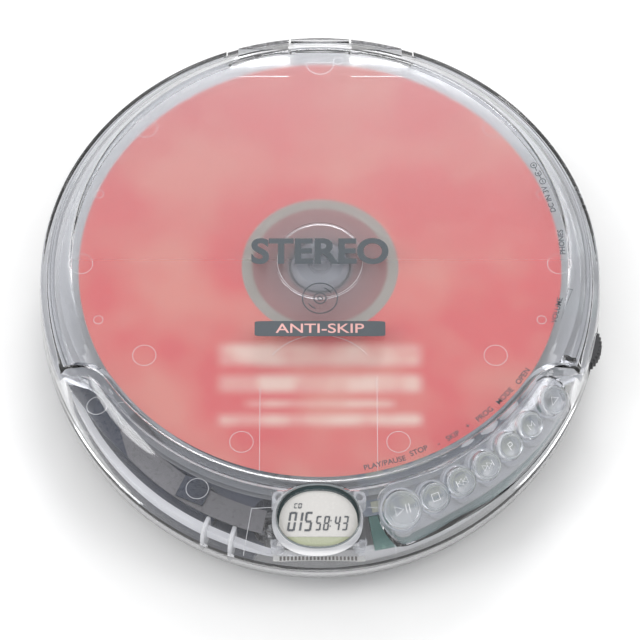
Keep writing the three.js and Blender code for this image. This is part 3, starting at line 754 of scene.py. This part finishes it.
# ---- clear shells ----
def make_top_cover():
    form = upper_form(0, PARTING_Z + GAP / 2)
    skin = cut(form, upper_form(WALL, PARTING_Z - 2), prism(lid_outline(LID_GAP), (17, 40)))
    floor_top = WELL_FLOOR_Z + WELL_FLOOR_T
    well = cut(prism(lid_outline(LID_GAP + 1.2), (WELL_FLOOR_Z, 40)),
               prism(lid_outline(LID_GAP), (floor_top, 41)))
    well = common(well, upper_form(0, PARTING_Z + GAP / 2))
    ring = common(tube(WELL_RING_R, (floor_top - 0.5, WELL_RING_TOP)),
                  prism(lid_outline(LID_GAP + 0.5), (floor_top - 0.5, 30)))
    shell = join(skin, well, ring)
    rooms = [block((s * (ARM_X[0] - 0.5), s * NOTCH_X), (61.5, 71), (16.4, 24)) for s in (-1, 1)]
    rooms.append(bar(3.6, (0.5 - ARM_X[0], ARM_X[0] - 0.5), HINGE_AT))
    shell = cut(shell, *rooms)
    shell = join(shell, bar(1.6, (-6.6, 6.6), HINGE_AT),
                 block((-6.6, 6.6), (60.6, HINGE_Y), (18.9, 21.4)))
    pocket = cut(common(upper_form(-1, PARTING_Z), prism(kidney(0), (KIDNEY_BOTTOM, 40))),
                 upper_form(KEY_RECESS, PARTING_Z - 4))
    slot = block((LATCH[0] - 2.2, LATCH[0] + 2.2), (LATCH[1] - 1.2, LATCH[1] + 1.2), (17, 24))
    wheel = cad_mid("volume_wheel")
    return cut(
        shell,
        bar(0.9, (-7, 7), HINGE_AT),
        post(16, (17, 21), steps=96),
        block((-9, 9), (10, 60.2), (17, 21)),
        slot,
        post(WHEEL_R + 0.5, (11, 17.3), place(wheel.x, wheel.y), steps=64),
        pocket,
        *button_holes(),
        prism(oval(LCD_SIZE[0] + 2 * GAP, LCD_SIZE[1] + 2 * GAP), (-1.6, 8), LCD_AT),
        block((-9.9, 9.9), (-6.9, 5.9), (-3.2, -1.3), LCD_AT),
        *jack_holes(),
    )


def make_bottom_shell():
    shell = cut(lower_form(0, PARTING_Z - GAP / 2), lower_form(WALL, PARTING_Z + 2))
    bosses = [post(3.6, (FOOT_H + 1, 11.5), place(x, y)) for x, y in SCREWS]
    shell = join(shell, *bosses)
    holes = [post(1.4, (0, 13), place(x, y)) for x, y in SCREWS]
    holes += [post(2.7, (0, 3.2), place(x, y)) for x, y in SCREWS]
    cells_at = place(BATTERY_OUT * math.sin(BATTERY_TURN), -BATTERY_OUT * math.cos(BATTERY_TURN),
                     0, BATTERY_TURN)
    door = block((-26, 26), (-40, 15), (0, FOOT_H + WALL + GAP), cells_at)
    return cut(shell, *holes, door, *jack_holes())


def make_lid():
    shell = common(upper_form(0, PARTING_Z), prism(lid_outline(0), (LID_BOTTOM_Z, 40)))
    hollow = common(prism(lid_outline(-1.6), (PARTING_Z, TOP_Z - LID_T)),
                    upper_form(LID_T, PARTING_Z - 1))
    shell = cut(shell, hollow)
    parts = [tube((10.4, 11.0), (TOP_Z - LID_T - 0.35, TOP_Z - LID_T + 0.4), 96)]
    for side in (-1, 1):
        x = [side * v for v in ARM_X]
        parts.append(block(x, (54.5, 63), (TOP_Z - LID_T - 0.25, TOP_Z - LID_T + 0.4)))
        parts.append(common(block(x, (62.2, 71), (19.5, TOP_Z - 0.6)), upper_form(0, PARTING_Z)))
        ends = [side * (ARM_X[1] - 0.2), side * (NOTCH_X - GAP)]
        parts.append(common(block(ends, (62.2, 71), (19.8, TOP_Z - 0.9)),
                            upper_form(0.25, PARTING_Z)))
        parts.append(bar(0.6, (side * (ARM_X[0] - 2.6), side * (ARM_X[0] + 1)), HINGE_AT))
    parts.append(block((LATCH[0] - 1.6, LATCH[0] + 1.6), (LATCH[1] - 0.7, LATCH[1] + 0.7),
                       (17.3, LID_BOTTOM_Z + 1.2)))
    return join(shell, *parts)


lid = piece(make_lid(), "lid_shell", "lid", "clear_plastic", "clear lid_frost", ["lid"])
use_second(lid, lambda at, n: TOP_Z - LID_T - 0.9 < at.z < TOP_Z - LID_T + 0.1 and n.z < -0.9)
cover = piece(make_top_cover(), "cover_shell", "body", "clear_plastic", "clear well_frost",
              ["top_cover"])
use_second(cover, lambda at, n: WELL_FLOOR_Z - 0.1 < at.z < WELL_FLOOR_Z + WELL_FLOOR_T + 0.1
           and abs(n.z) > 0.9)
piece(make_bottom_shell(), "base_shell", "body", "clear_plastic", "base", ["bottom_shell"])


# ---- disc and turntable ----
def make_disc():
    hole, rim, edge = DISC_HOLE_R, DISC_R, 0.15
    low, high = DISC_Z
    return lathe([(hole, low + edge), (hole + edge, low), (17, low), (17.4, low - 0.2), (18, low),
                  (rim - edge, low), (rim, low + edge), (rim, high - edge), (rim - edge, high),
                  (19.4, high), (19.1, high - 0.06), (17.2, high - 0.06), (16.9, high),
                  (hole + edge, high), (hole, high - edge)], 192, closed=True)


disc = piece(make_disc(), "disc_printed", "spindle", "disc_label", "label silver", ["compact_disc"])
use_second(disc, lambda at, n: n.z < 0.9 and at.z < 22.9)
table = lathe([
    (0, 22.8), (1.3, 22.8), (1.3, 20), (15, 20), (15, 21.3), (14.6, 21.5), (7.2, 21.5),
    (7.2, 23.1), (6.9, 23.5), (6.0, 24.3), (5.6, 24.4), (3.0, 24.4), (2.6, 24.1), (2.2, 24.1),
    (1.9, 24.5), (0, 24.5)], 72)
piece(table, "turntable_hub", "spindle", "black_plastic", "hub", ["turntable"])


# ---- buttons ----
GLYPHS = {
    "play": [[(-1.9, -1.1), (-1.9, 1.1), (0.1, 0), (-1.9, -1.1)],
             [(0.8, -1.1), (0.8, 1.1)], [(1.6, -1.1), (1.6, 1.1)]],
    "stop": [[(-0.9, -0.9), (0.9, -0.9), (0.9, 0.9), (-0.9, 0.9), (-0.9, -0.9)]],
    "skip_back": [[(-1.4, -0.8), (-1.4, 0.8)],
                  [(0.1, -0.8), (0.1, 0.8), (-1.1, 0), (0.1, -0.8)],
                  [(1.4, -0.8), (1.4, 0.8), (0.2, 0), (1.4, -0.8)]],
    "skip_forward": [[(1.4, -0.8), (1.4, 0.8)],
                     [(-0.1, -0.8), (-0.1, 0.8), (1.1, 0), (-0.1, -0.8)],
                     [(-1.4, -0.8), (-1.4, 0.8), (-0.2, 0), (-1.4, -0.8)]],
    "program": [[(-0.5, -0.9), (-0.5, 0.9), (0.4, 0.9), (0.6, 0.4), (0.4, 0),
                 (-0.5, 0)]],
    "mode": [[(-0.8, -0.8), (-0.8, 0.8), (0, -0.2), (0.8, 0.8), (0.8, -0.8)]],
    "open": [[(-1.3, -0.5), (1.3, -0.5), (0, 1.1), (-1.3, -0.5)]],
}


def make_button(name):
    r = BUTTON_R[name]
    dish = [(r * (0.74 - 0.08 * i), 0.72 - 0.42 * (1 - (1 - i / 9) ** 2)) for i in range(10)]
    profile = [(0, -2), (r - 0.2, -2), (r, -1.8), (r, 0.45), (r - 0.08, 0.68), (r - 0.25, 0.82),
               (r - 0.5, 0.9), (r * 0.86, 0.9), (r * 0.83, 0.84), (r * 0.8, 0.66),
               (r * 0.77, 0.66)] + dish[:-1] + [(0, 0.3)]
    return lathe(profile, 72, BUTTON_AT[name])


for name in BUTTON_R:
    piece(make_button(name), "cap_" + name, "button_" + name, "frosted_plastic", "cap",
          ["button_" + name], angle=0.9)
    glyph_at = raised(BUTTON_AT[name], 0.5 if name == "play" else 0.42)
    piece(wires("glyph_" + name, GLYPHS[name], 0.085, glyph_at), "glyph_" + name,
          "button_" + name, "frosted_plastic", "band")

collars = [tube((r + 0.25, r + 0.65), (-5.6, -2.9), 56, BUTTON_AT[name])
           for name, r in BUTTON_R.items()]
piece(merged("button_collars", *collars), "button_collars", "body", "clear_plastic", "ridge")
insert = common(upper_form(0.05, PARTING_Z), prism(kidney(-GAP), (KIDNEY_BOTTOM + GAP, 40)))
insert = cut(insert, upper_form(KEY_RECESS - GAP, PARTING_Z - 4), *button_holes())
piece(insert, "button_plate", "body", "frosted_plastic", "frosted", ["button_surround"])


# ---- display ----
def make_bezel():
    rings = ((20.4, 15.6, -1.1), (20.4, 15.6, 0.0), (20.3, 15.5, 0.12), (20.1, 15.3, 0.18),
             (19.85, 15.05, 0.1), (19.6, 14.8, -0.55), (19.6, 14.8, -1.1))
    verts, faces, steps = [], [], 96
    for width, height, z in rings:
        verts += [(x, y, z) for x, y in oval(width, height, steps=steps)]
    for k in range(len(rings)):
        a, b = k * steps, (k + 1) % len(rings) * steps
        faces += [(a + i, a + (i + 1) % steps, b + (i + 1) % steps, b + i) for i in range(steps)]
    return common(mesh_object("bezel", verts, faces, LCD_AT), upper_form(-0.28, 8))


piece(make_bezel(), "display_bezel", "body", "chrome_trim", "chrome", ["lcd_bezel"], angle=0.9)

SEGMENTS = {"0": "abcdef", "1": "bc", "3": "abgcd", "4": "fgbc", "5": "afgcd", "8": "abcdefg",
            "C": "afed", "D": "abcdef"}
DIGIT_LEAN = 0.16


def digit(symbol, x, y, w, h, t):
    """Slanted bars of a seven-part figure, as flat outlines."""
    half = h / 2
    g = t * 0.35
    level = {"a": (h - t, h), "g": (half - t / 2, half + t / 2), "d": (0, t)}
    side = {"f": (0, half + g, h - g), "b": (w - t, half + g, h - g),
            "e": (0, g, half - g), "c": (w - t, g, half - g)}
    shapes = []
    for part in SEGMENTS[symbol]:
        if part in level:
            low, high = level[part]
            box = (t * 0.6, low, w - t * 0.6, high)
        else:
            left, low, high = side[part]
            box = (left, low, left + t, high)
        corners = [(box[0], box[1]), (box[2], box[1]), (box[2], box[3]), (box[0], box[3])]
        shapes.append([(x + px + DIGIT_LEAN * py, y + py) for px, py in corners])
    return shapes


def make_segments():
    shapes = []
    for symbol, x in (("0", -7.6), ("1", -6.1), ("5", -3.7)):
        shapes += digit(symbol, x, -3.7, 1.9, 4.7, 0.52)
    for symbol, x in (("5", -0.9), ("8", 1.0), ("4", 3.6), ("3", 5.5)):
        shapes += digit(symbol, x, -3.5, 1.35, 3.5, 0.38)
    for symbol, x in (("C", -5.9), ("D", -4.9)):
        shapes += digit(symbol, x, 1.8, 0.85, 1.25, 0.24)
    for y in (-2.6, -1.3):
        x = 3.1 + DIGIT_LEAN * y
        shapes.append([(x, y), (x + 0.3, y), (x + 0.3, y + 0.3), (x, y + 0.3)])
    return merged("display_figures", *[prism(s, (-1.58, -1.53), LCD_AT) for s in shapes])


piece(make_segments(), "display_figures", "body", "lcd_screen", "segments")
FACE = oval(*LCD_WINDOW_OVAL)
face = common(prism(FACE, (-2.1, -1.62), LCD_AT), block((-12, 12), (-5.0, 9), (-4, 0), LCD_AT))
piece(face, "display_face", "body", "lcd_screen", "screen", ["lcd_panel"])
low = common(prism(FACE, (-2.1, -1.66), LCD_AT), block((-12, 12), (-9, -5.05), (-4, 0), LCD_AT))
piece(low, "display_lower_band", "body", "lcd_screen", "screen_low")
# A dark teal crescent under the top of the bezel: painted shade and a painted dark reflection of
# the recess wall.
shade = cut(prism(FACE, (-1.5, -1.15), LCD_AT),
            prism(oval(18.9, 15.6), (-2, 0), raised(LCD_AT, 0, y=-1.7)))
piece(shade, "display_shade", "body", "lcd_screen", "teal")
lip = cut(prism(oval(21.8, 17.4), (-2.1, -1.8), raised(LCD_AT, 0, -0.2, -0.95)),
          prism(oval(*LCD_SIZE), (-3, 0), LCD_AT))
piece(lip, "display_lip", "body", "clear_plastic", "ridge")


# ---- prints on the lid ----
def on_lid(x, y, turn=0.0):
    return place(x, y, TOP_Z + PRINT_LIFT, turn)


def across_radius(x, y):
    return math.atan2(y, x) + math.pi / 2


def round_label(text, size, x, y):
    return lettering(text, text, size, on_lid(x, y, across_radius(x, y)), weight=0.02)


def make_prints():
    parts = [lettering("word", "STEREO", 9.8, on_lid(0, 1.5), weight=0.32),
             disc_mark(), prism(oval(32.1, 4.3, 0.12), (0, 0.03), on_lid(0, -20.25))]
    for text, x, y in (("PLAY/PAUSE", 15.6, -57.5), ("STOP", 23.8, -54.2), ("SKIP", 32.1, -50.1),
                       ("-", 28.6, -52.2), ("+", 35.8, -47.4), ("PROG", 39.9, -44.1),
                       ("MODE", 44.9, -39.1), ("OPEN", 49.4, -33.6)):
        parts.append(round_label(text, 1.95, x, y))
    for text, x, y in (("VOLUME", 58.3, -15.0), ("PHONES", 60.0, 4.5), ("DC IN 3V", 57.2, 17.0)):
        parts.append(round_label(text, 1.9, x, y))
    parts.append(polarity_mark())
    wedge = [(0, -4.4), (0, 4.4), (1.1, 4.4), (0, -4.4)]
    parts.append(wires("wedge", [wedge], 0.09, on_lid(60.2, -13.2, math.radians(-13))))
    return merged("lid_prints", *parts)


def disc_mark():
    """A plain sign for a disc: a ring round a hub, with two glints."""
    at = on_lid(0, -11.6)
    lines = [circle(4.3), circle(1.5), circle(0.55, steps=24),
             circle(3.1, start=0.5, end=1.2, steps=12), circle(3.1, start=3.64, end=4.34, steps=12)]
    return wires("disc_mark", lines, 0.14, at)


def polarity_mark():
    """The generic sign for which part of a power plug is positive."""
    at = on_lid(54.7, 24.6, across_radius(54.7, 24.6))
    lines = [circle(0.75, x=-2.6, steps=24), circle(0.75, x=2.6, steps=24),
             circle(0.75, start=0.7, end=5.6, steps=24), circle(0.2, steps=12),
             [(-1.85, 0), (-0.2, 0)], [(0.75, 0), (1.85, 0)],
             [(-2.95, 0), (-2.25, 0)], [(2.25, 0), (2.95, 0)],
             [(2.6, -0.35), (2.6, 0.35)]]
    return wires("polarity", lines, 0.09, at)


piece(make_prints(), "lid_prints", "lid", "clear_plastic", "print")
banner_words = lettering("banner_words", "ANTI-SKIP", 3.7, raised(on_lid(0, -20.3), 0.03),
                         weight=0.03, stretch=1.3)
piece(banner_words, "banner_words", "lid", "clear_plastic", "print_pale")


# ---- fine marks of moulding in the lid ----
UNDER_LID = place(z=TOP_Z - LID_T - 0.06)
EJECTORS = [(s * x, y) for x, y in ((44, 39), (59.2, -1), (43, -27), (19, -51)) for s in (1, -1)]
BUMPS = [(s * x, y) for x, y in ((33.8, 48.6), (55.3, 19.3), (54.5, -17)) for s in (1, -1)]
lid_lines = [circle(2.85, x, y) for x, y in EJECTORS]
lid_lines += [circle(1.15, x, y, steps=24) for x, y in BUMPS]
lid_lines += [circle(10.6, steps=96),
              circle(14.9, 0, -36.2, 0, 60, math.radians(38), math.radians(142))]
lid_lines += [[(-14.6, -36), (-14.6, -59)], [(13.9, -33), (13.9, -59)]]
BACK_MARK_Y = 58.6
lid_marks = [circle(3.5, 0, BACK_MARK_Y, 0, 30, math.pi, 2 * math.pi),
             circle(1.15, 4.6, BACK_MARK_Y + 0.6, steps=24),
             [(-3.5, BACK_MARK_Y), (3.5, BACK_MARK_Y)],
             [(-2.2, BACK_MARK_Y + 0.2), (-0.8, BACK_MARK_Y + 1.6), (-0.9, BACK_MARK_Y + 0.3)]]
piece(wires("lid_marks", lid_marks, 0.09, UNDER_LID), "lid_marks", "lid", "clear_plastic", "band")
piece(wires("lid_lines", lid_lines, 0.055, UNDER_LID), "lid_lines", "lid", "clear_plastic", "ridge")


# ---- seen through the front of the cover ----
TAPER_END_H = 0.3


def along_outline(inset, angle):
    r = outline_r(angle) - inset
    return r * math.cos(angle), r * math.sin(angle)


def edge_strip(inset, turns, z, taper):
    """A wall that follows the outline: insets and heights are pairs, turns are degrees.

    Its top falls away over the last degrees, as many as the taper says.
    """
    start, end = (math.radians(t) for t in turns)
    angles = [start + (end - start) * i / 60 for i in range(61)]
    points = [along_outline(max(inset), a) for a in angles]
    points += [along_outline(min(inset), a) for a in reversed(angles)]
    strip = prism(points[::-1], z)
    least = z[0] + TAPER_END_H
    for vertex in strip.data.vertices:
        at = vertex.co / MM
        to_end = turns[1] - math.degrees(math.atan2(at.y - AXIS_Y, at.x)) % 360
        if taper and at.z > z[0] + 0.1 and to_end < taper:
            share = max(0, to_end) / taper
            vertex.co.z = (least + (z[1] - least) * share * (2 - share)) * MM
    return strip


def round_strip(radii, turns, z, steps=60):
    """A wall on a circle round the disc's axis; turns are degrees from the front."""
    start, end = (math.radians(t - 90) for t in turns)
    return prism([(p.x, p.y) for p in arc((0, 0), radii[1], start, end, steps)
                  + arc((0, 0), radii[0], end, start, steps)], z)


# The first strip is a painted highlight: a pale hazy band that stands in for light caught along the
# cover's inner wall at the front left.
for name, inset, turns, z, taper, slot, look in (
        ("pale_haze_and_painted_highlight", (3.0, 4.4), (200, 263), (12.9, 16.3), 14, "clear_plastic", "band"),
        ("right_wall", (3.2, 4.4), (277, 322), (10.5, 15.6), 0, "clear_plastic", "ridge"),
        ("smoke_band", (5.6, 11.5), (222, 259), (SMOKE_Z, 18.8), 0, "smoke_plastic", "step")):
    piece(edge_strip(inset, turns, z, taper), name, "body", slot, look)
wedge = [(-61.5, -30.9), (-56.6, -32.4), (-49.4, -41.4), (-46.3, -51.5), (-52.5, -44.5)]
piece(prism(wedge, (SMOKE_Z, 18.9)), "smoke_wedge", "body", "smoke_plastic", "navy")
patch_at = place(-30.4, -60.3, 18.9, math.radians(-24))
piece(soften(block((-3.6, 3.6), (-2.9, 2.9), (0, 0.35), patch_at), 0.1), "smoke_patch", "body",
      "smoke_plastic", "navy")
cover_lines = [circle(2.7, -29.6, -60.0, 19.5), circle(2.35, -54.4, -37.2, 19.4)]
cover_lines += [[(s * 16.4, -67.2, 23.0), (s * 18.4, -75.4, 14.4)] for s in (1, -1)]
cover_lines += [[(s * 11.4, -67.0, 23.2), (s * 16.4, -67.2, 23.0)] for s in (1, -1)]
cover_lines += [[(-48.5, -38.2, 23.6), (-49.6, -41.0, 22.4), (-48.0, -44.0, 22.0)]]
piece(wires("cover_lines", cover_lines, 0.08), "cover_lines", "body", "clear_plastic", "ridge")

ribs = []
for x, y in ((-27.6, -69.0), (-21.1, -71.6)):
    rib_at = place(x, y, 0, across_radius(x, y))
    ribs.append(soften(block((-0.55, 0.55), (-1.9, 2.6), (9, 18.2), rib_at), 0.4, 3))
for x, y, low_z, high_z in ((-9.8, -65.0, 19.8, 24.2), (9.4, -65.0, 19.8, 24.2),
                            (-10.2, -72.6, 13, 16.5), (9.6, -72.6, 13, 16.5)):
    ribs.append(lathe([(0.8, low_z), (1.7, low_z), (1.7, high_z - 0.3), (1.4, high_z),
                       (1.0, high_z), (0.8, high_z - 0.2)], 40, place(x, y), closed=True))
for i, rib in enumerate(ribs):
    piece(rib, f"cover_rib_{i + 1}", "body", "clear_plastic", "ridge")

for side in (-1, 1):
    side_name = "left" if side < 0 else "right"
    x = sorted((side * (ARM_X[0] + 0.3), side * (ARM_X[1] - 0.3)))
    low_film = common(block(x, (66.6, 72), (19.2, 19.4)), upper_form(0.4, PARTING_Z))
    piece(low_film, "arm_grip_" + side_name, "lid", "clear_plastic", "speckle")

piece(block((-11.2, 10.8), (-76.3, -74.0), (14.1, 14.3)), "display_flex", "body",
      "circuit_board", "white")
pins = [block((x - 0.25, x + 0.25), (-76.2, -74.3), (14.3, 14.36))
        for x in (-9.4 + 0.9 * i for i in range(21))]
piece(merged("display_pins", *pins), "display_pins", "body", "steel", "pin")

piece(round_strip((60.5, 67.2), (9, 54), (16.75, 17.0)), "key_strip", "body",
      "circuit_board", "strip")
pads = [round_strip((63.6, 66.6), (11 + 6.0 * i, 15.4 + 6.0 * i), (17.0, 17.15), 8)
        for i in range(7)]
piece(merged("key_pads", *pads), "key_pads", "body", "circuit_board", "pads")


# ---- small parts on the outside ----
def rows_solid(rows, at):
    """A solid through stacked outlines of (x, y, z) points, all of the same length."""
    count = len(rows[0])
    verts = [v for row in rows for v in row]
    faces = [list(reversed(range(count))),
             list(range((len(rows) - 1) * count, len(rows) * count))]
    for k in range(len(rows) - 1):
        faces += [(k * count + i, k * count + (i + 1) % count, (k + 1) * count + (i + 1) % count,
                   (k + 1) * count + i) for i in range(count)]
    return mesh_object("rows", verts, faces, at)


def knurled(r, depth, teeth, z, bevel, at):
    """A wheel with flat-topped teeth and bevelled rims."""
    rows = []
    for level, shrink in ((z[0], bevel), (z[0] + bevel, 0), (z[1] - bevel, 0), (z[1], bevel)):
        row = []
        for i in range(teeth * 4):
            reach = (r if i % 4 in (1, 2) else r - depth) - shrink
            a = (i + 0.5) / (teeth * 4) * 2 * math.pi
            row.append((reach * math.cos(a), reach * math.sin(a), level))
        rows.append(row)
    return rows_solid(rows, at)


def reach_of(node):
    """The lowest and highest of a CAD node, in mm."""
    lo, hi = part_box(node)
    return lo[2] / MM, hi[2] / MM


wheel_at = cad_mid("volume_wheel")
wheel_z = reach_of("volume_wheel")
wheel = knurled(WHEEL_R, 0.5, 44, wheel_z, 0.35, place(wheel_at.x, wheel_at.y))
piece(wheel, "volume_knurled", "volume", "black_plastic", "black", ["volume_wheel"], angle=0.4)
for i in range(1, 6):
    foot_at = cad_mid(f"foot_{i}")
    high = reach_of(f"foot_{i}")[1]
    pad = lathe([(0, 0.2), (3.3, 0.2), (3.6, 0), (4.6, 0), (4.9, 0.12), (5, 0.35), (5, high),
                 (0, high)], 48, place(foot_at.x, foot_at.y))
    piece(pad, f"foot_pad_{i}", "body", "rubber", "rubber", [f"foot_{i}"])
for i, (x, y) in enumerate(SCREWS):
    low, high = reach_of(f"screw_{i + 1}")
    bolt = lathe([(0, low), (1.7, low), (2.1, low + 0.15), (2.3, low + 0.5), (2.3, 2.9),
                  (1.05, 2.9), (1.05, high - 0.6), (0.5, high), (0, high)], 40, place(x, y))
    slots = [block((-1.4, 1.4), (-0.28, 0.28), (0, low + 0.9), place(x, y, 0, a))
             for a in (0.4, 0.4 + math.pi / 2)]
    piece(cut(bolt, *slots), f"screw_cross_{i + 1}", "body", "steel", "steel", [f"screw_{i + 1}"])
door_at = cad_mid("battery_door")
grip_at = place(door_at.x, door_at.y, 0, BATTERY_TURN)
grips = [block((-7, 7), (y - 0.45, y + 0.45), (0.62, 1.2), grip_at)
         for y in (-4.8, -3.2, -1.6, 0, 1.6)]
piece(merged("door_grip", *grips), "door_grip", "door", "clear_plastic", "base")

for name, at, r in (("phones_collar", PHONES_AT, (1.85, 2.75)), ("dc_collar", DC_AT, (2.85, 3.15))):
    ring = lathe([(r[0], 68.6), (r[1], 68.6), (r[1], 69.45), (r[1] - 0.15, 69.6),
                  (r[0] + 0.15, 69.6), (r[0], 69.45)], 48, at @ LYING, closed=True)
    piece(ring, name, "body", "steel", "steel")


# ---- the rest of the frame's nodes take a better material ----
FINISH = {
    "clear": ["lcd_holder", "pickup_lens"],
    "base": ["battery_door"],
    "window": ["lcd_window"],
    "white": ["key_mat", "lcd_connector", "drive_gear", "latch_hook"],
    "black": ["drive_chassis", "pickup_sled", "chip_decoder", "chip_memory", "chip_servo",
              "capacitor_1", "capacitor_2", "phones_jack", "dc_jack", "volume_pot"],
    "rubber": [f"damper_{i}" for i in range(1, 5)],
    "steel": ["spindle_motor", "guide_rod_left", "guide_rod_right", "feed_worm", "feed_motor",
              "crystal", "battery_contact_1", "battery_contact_2"],
    "board": ["key_board", "main_board"],
    "smoke": ["battery_box"],
    "cell": ["cell_1", "cell_2"],
}
for look, names in FINISH.items():
    for name in names:
        obj = frame["nodes"][name]
        for slot in obj.material_slots:
            slot.material = MAT[look]

# ---- stage ----
DISC_TOP = Vector((0, AXIS_Y, DISC_Z[1])) * MM
CAMERA_FROM = math.radians(59.41)
CAMERA_AIM = math.radians(60.14)
CAMERA_AWAY = 1.0155
CAMERA_LENS = 229.6
WORLD_STRENGTH = 0.86
camera = linked("camera", bpy.data.cameras.new("camera"))
camera.data.lens = CAMERA_LENS
camera.data.sensor_width = 36
camera.data.clip_end = 20
camera_line = Vector((0, -math.cos(CAMERA_FROM), math.sin(CAMERA_FROM)))
camera.location = DISC_TOP + CAMERA_AWAY * camera_line
camera.rotation_euler = (math.pi / 2 - CAMERA_AIM, 0, 0)
scene.camera = camera

bpy.ops.mesh.primitive_plane_add(size=8)
floor = bpy.context.object
floor.name = "floor"
floor.data.materials.append(moulded("floor", (0.9, 0.9, 0.9), 0.8, 0.01, depth=0.01))

world = bpy.data.worlds.new("studio")
world.use_nodes = True
background = world.node_tree.nodes["Background"].inputs
background["Color"].default_value = (1, 1, 1, 1)
background["Strength"].default_value = WORLD_STRENGTH
scene.world = world


def softbox(name, size, power, place_at):
    lamp = bpy.data.lights.new(name, "AREA")
    lamp.shape = "DISK"
    lamp.size = size
    lamp.energy = power
    obj = linked(name, lamp)
    obj.location = place_at
    obj.rotation_euler = (-Vector(place_at)).to_track_quat("-Z", "Y").to_euler()


softbox("softbox_back", 0.9, 15, (0.25, 1.6, 1.05))
softbox("softbox_left", 0.8, 9, (-1.3, -0.1, 1.3))
softbox("softbox_right", 0.8, 7, (1.3, 0.1, 1.4))

scene.view_settings.view_transform = "Standard"
scene.cycles.max_bounces = 28
scene.cycles.transmission_bounces = 24
scene.cycles.transparent_max_bounces = 32
scene.cycles.diffuse_bounces = 3
scene.cycles.caustics_refractive = False
scene.cycles.caustics_reflective = False
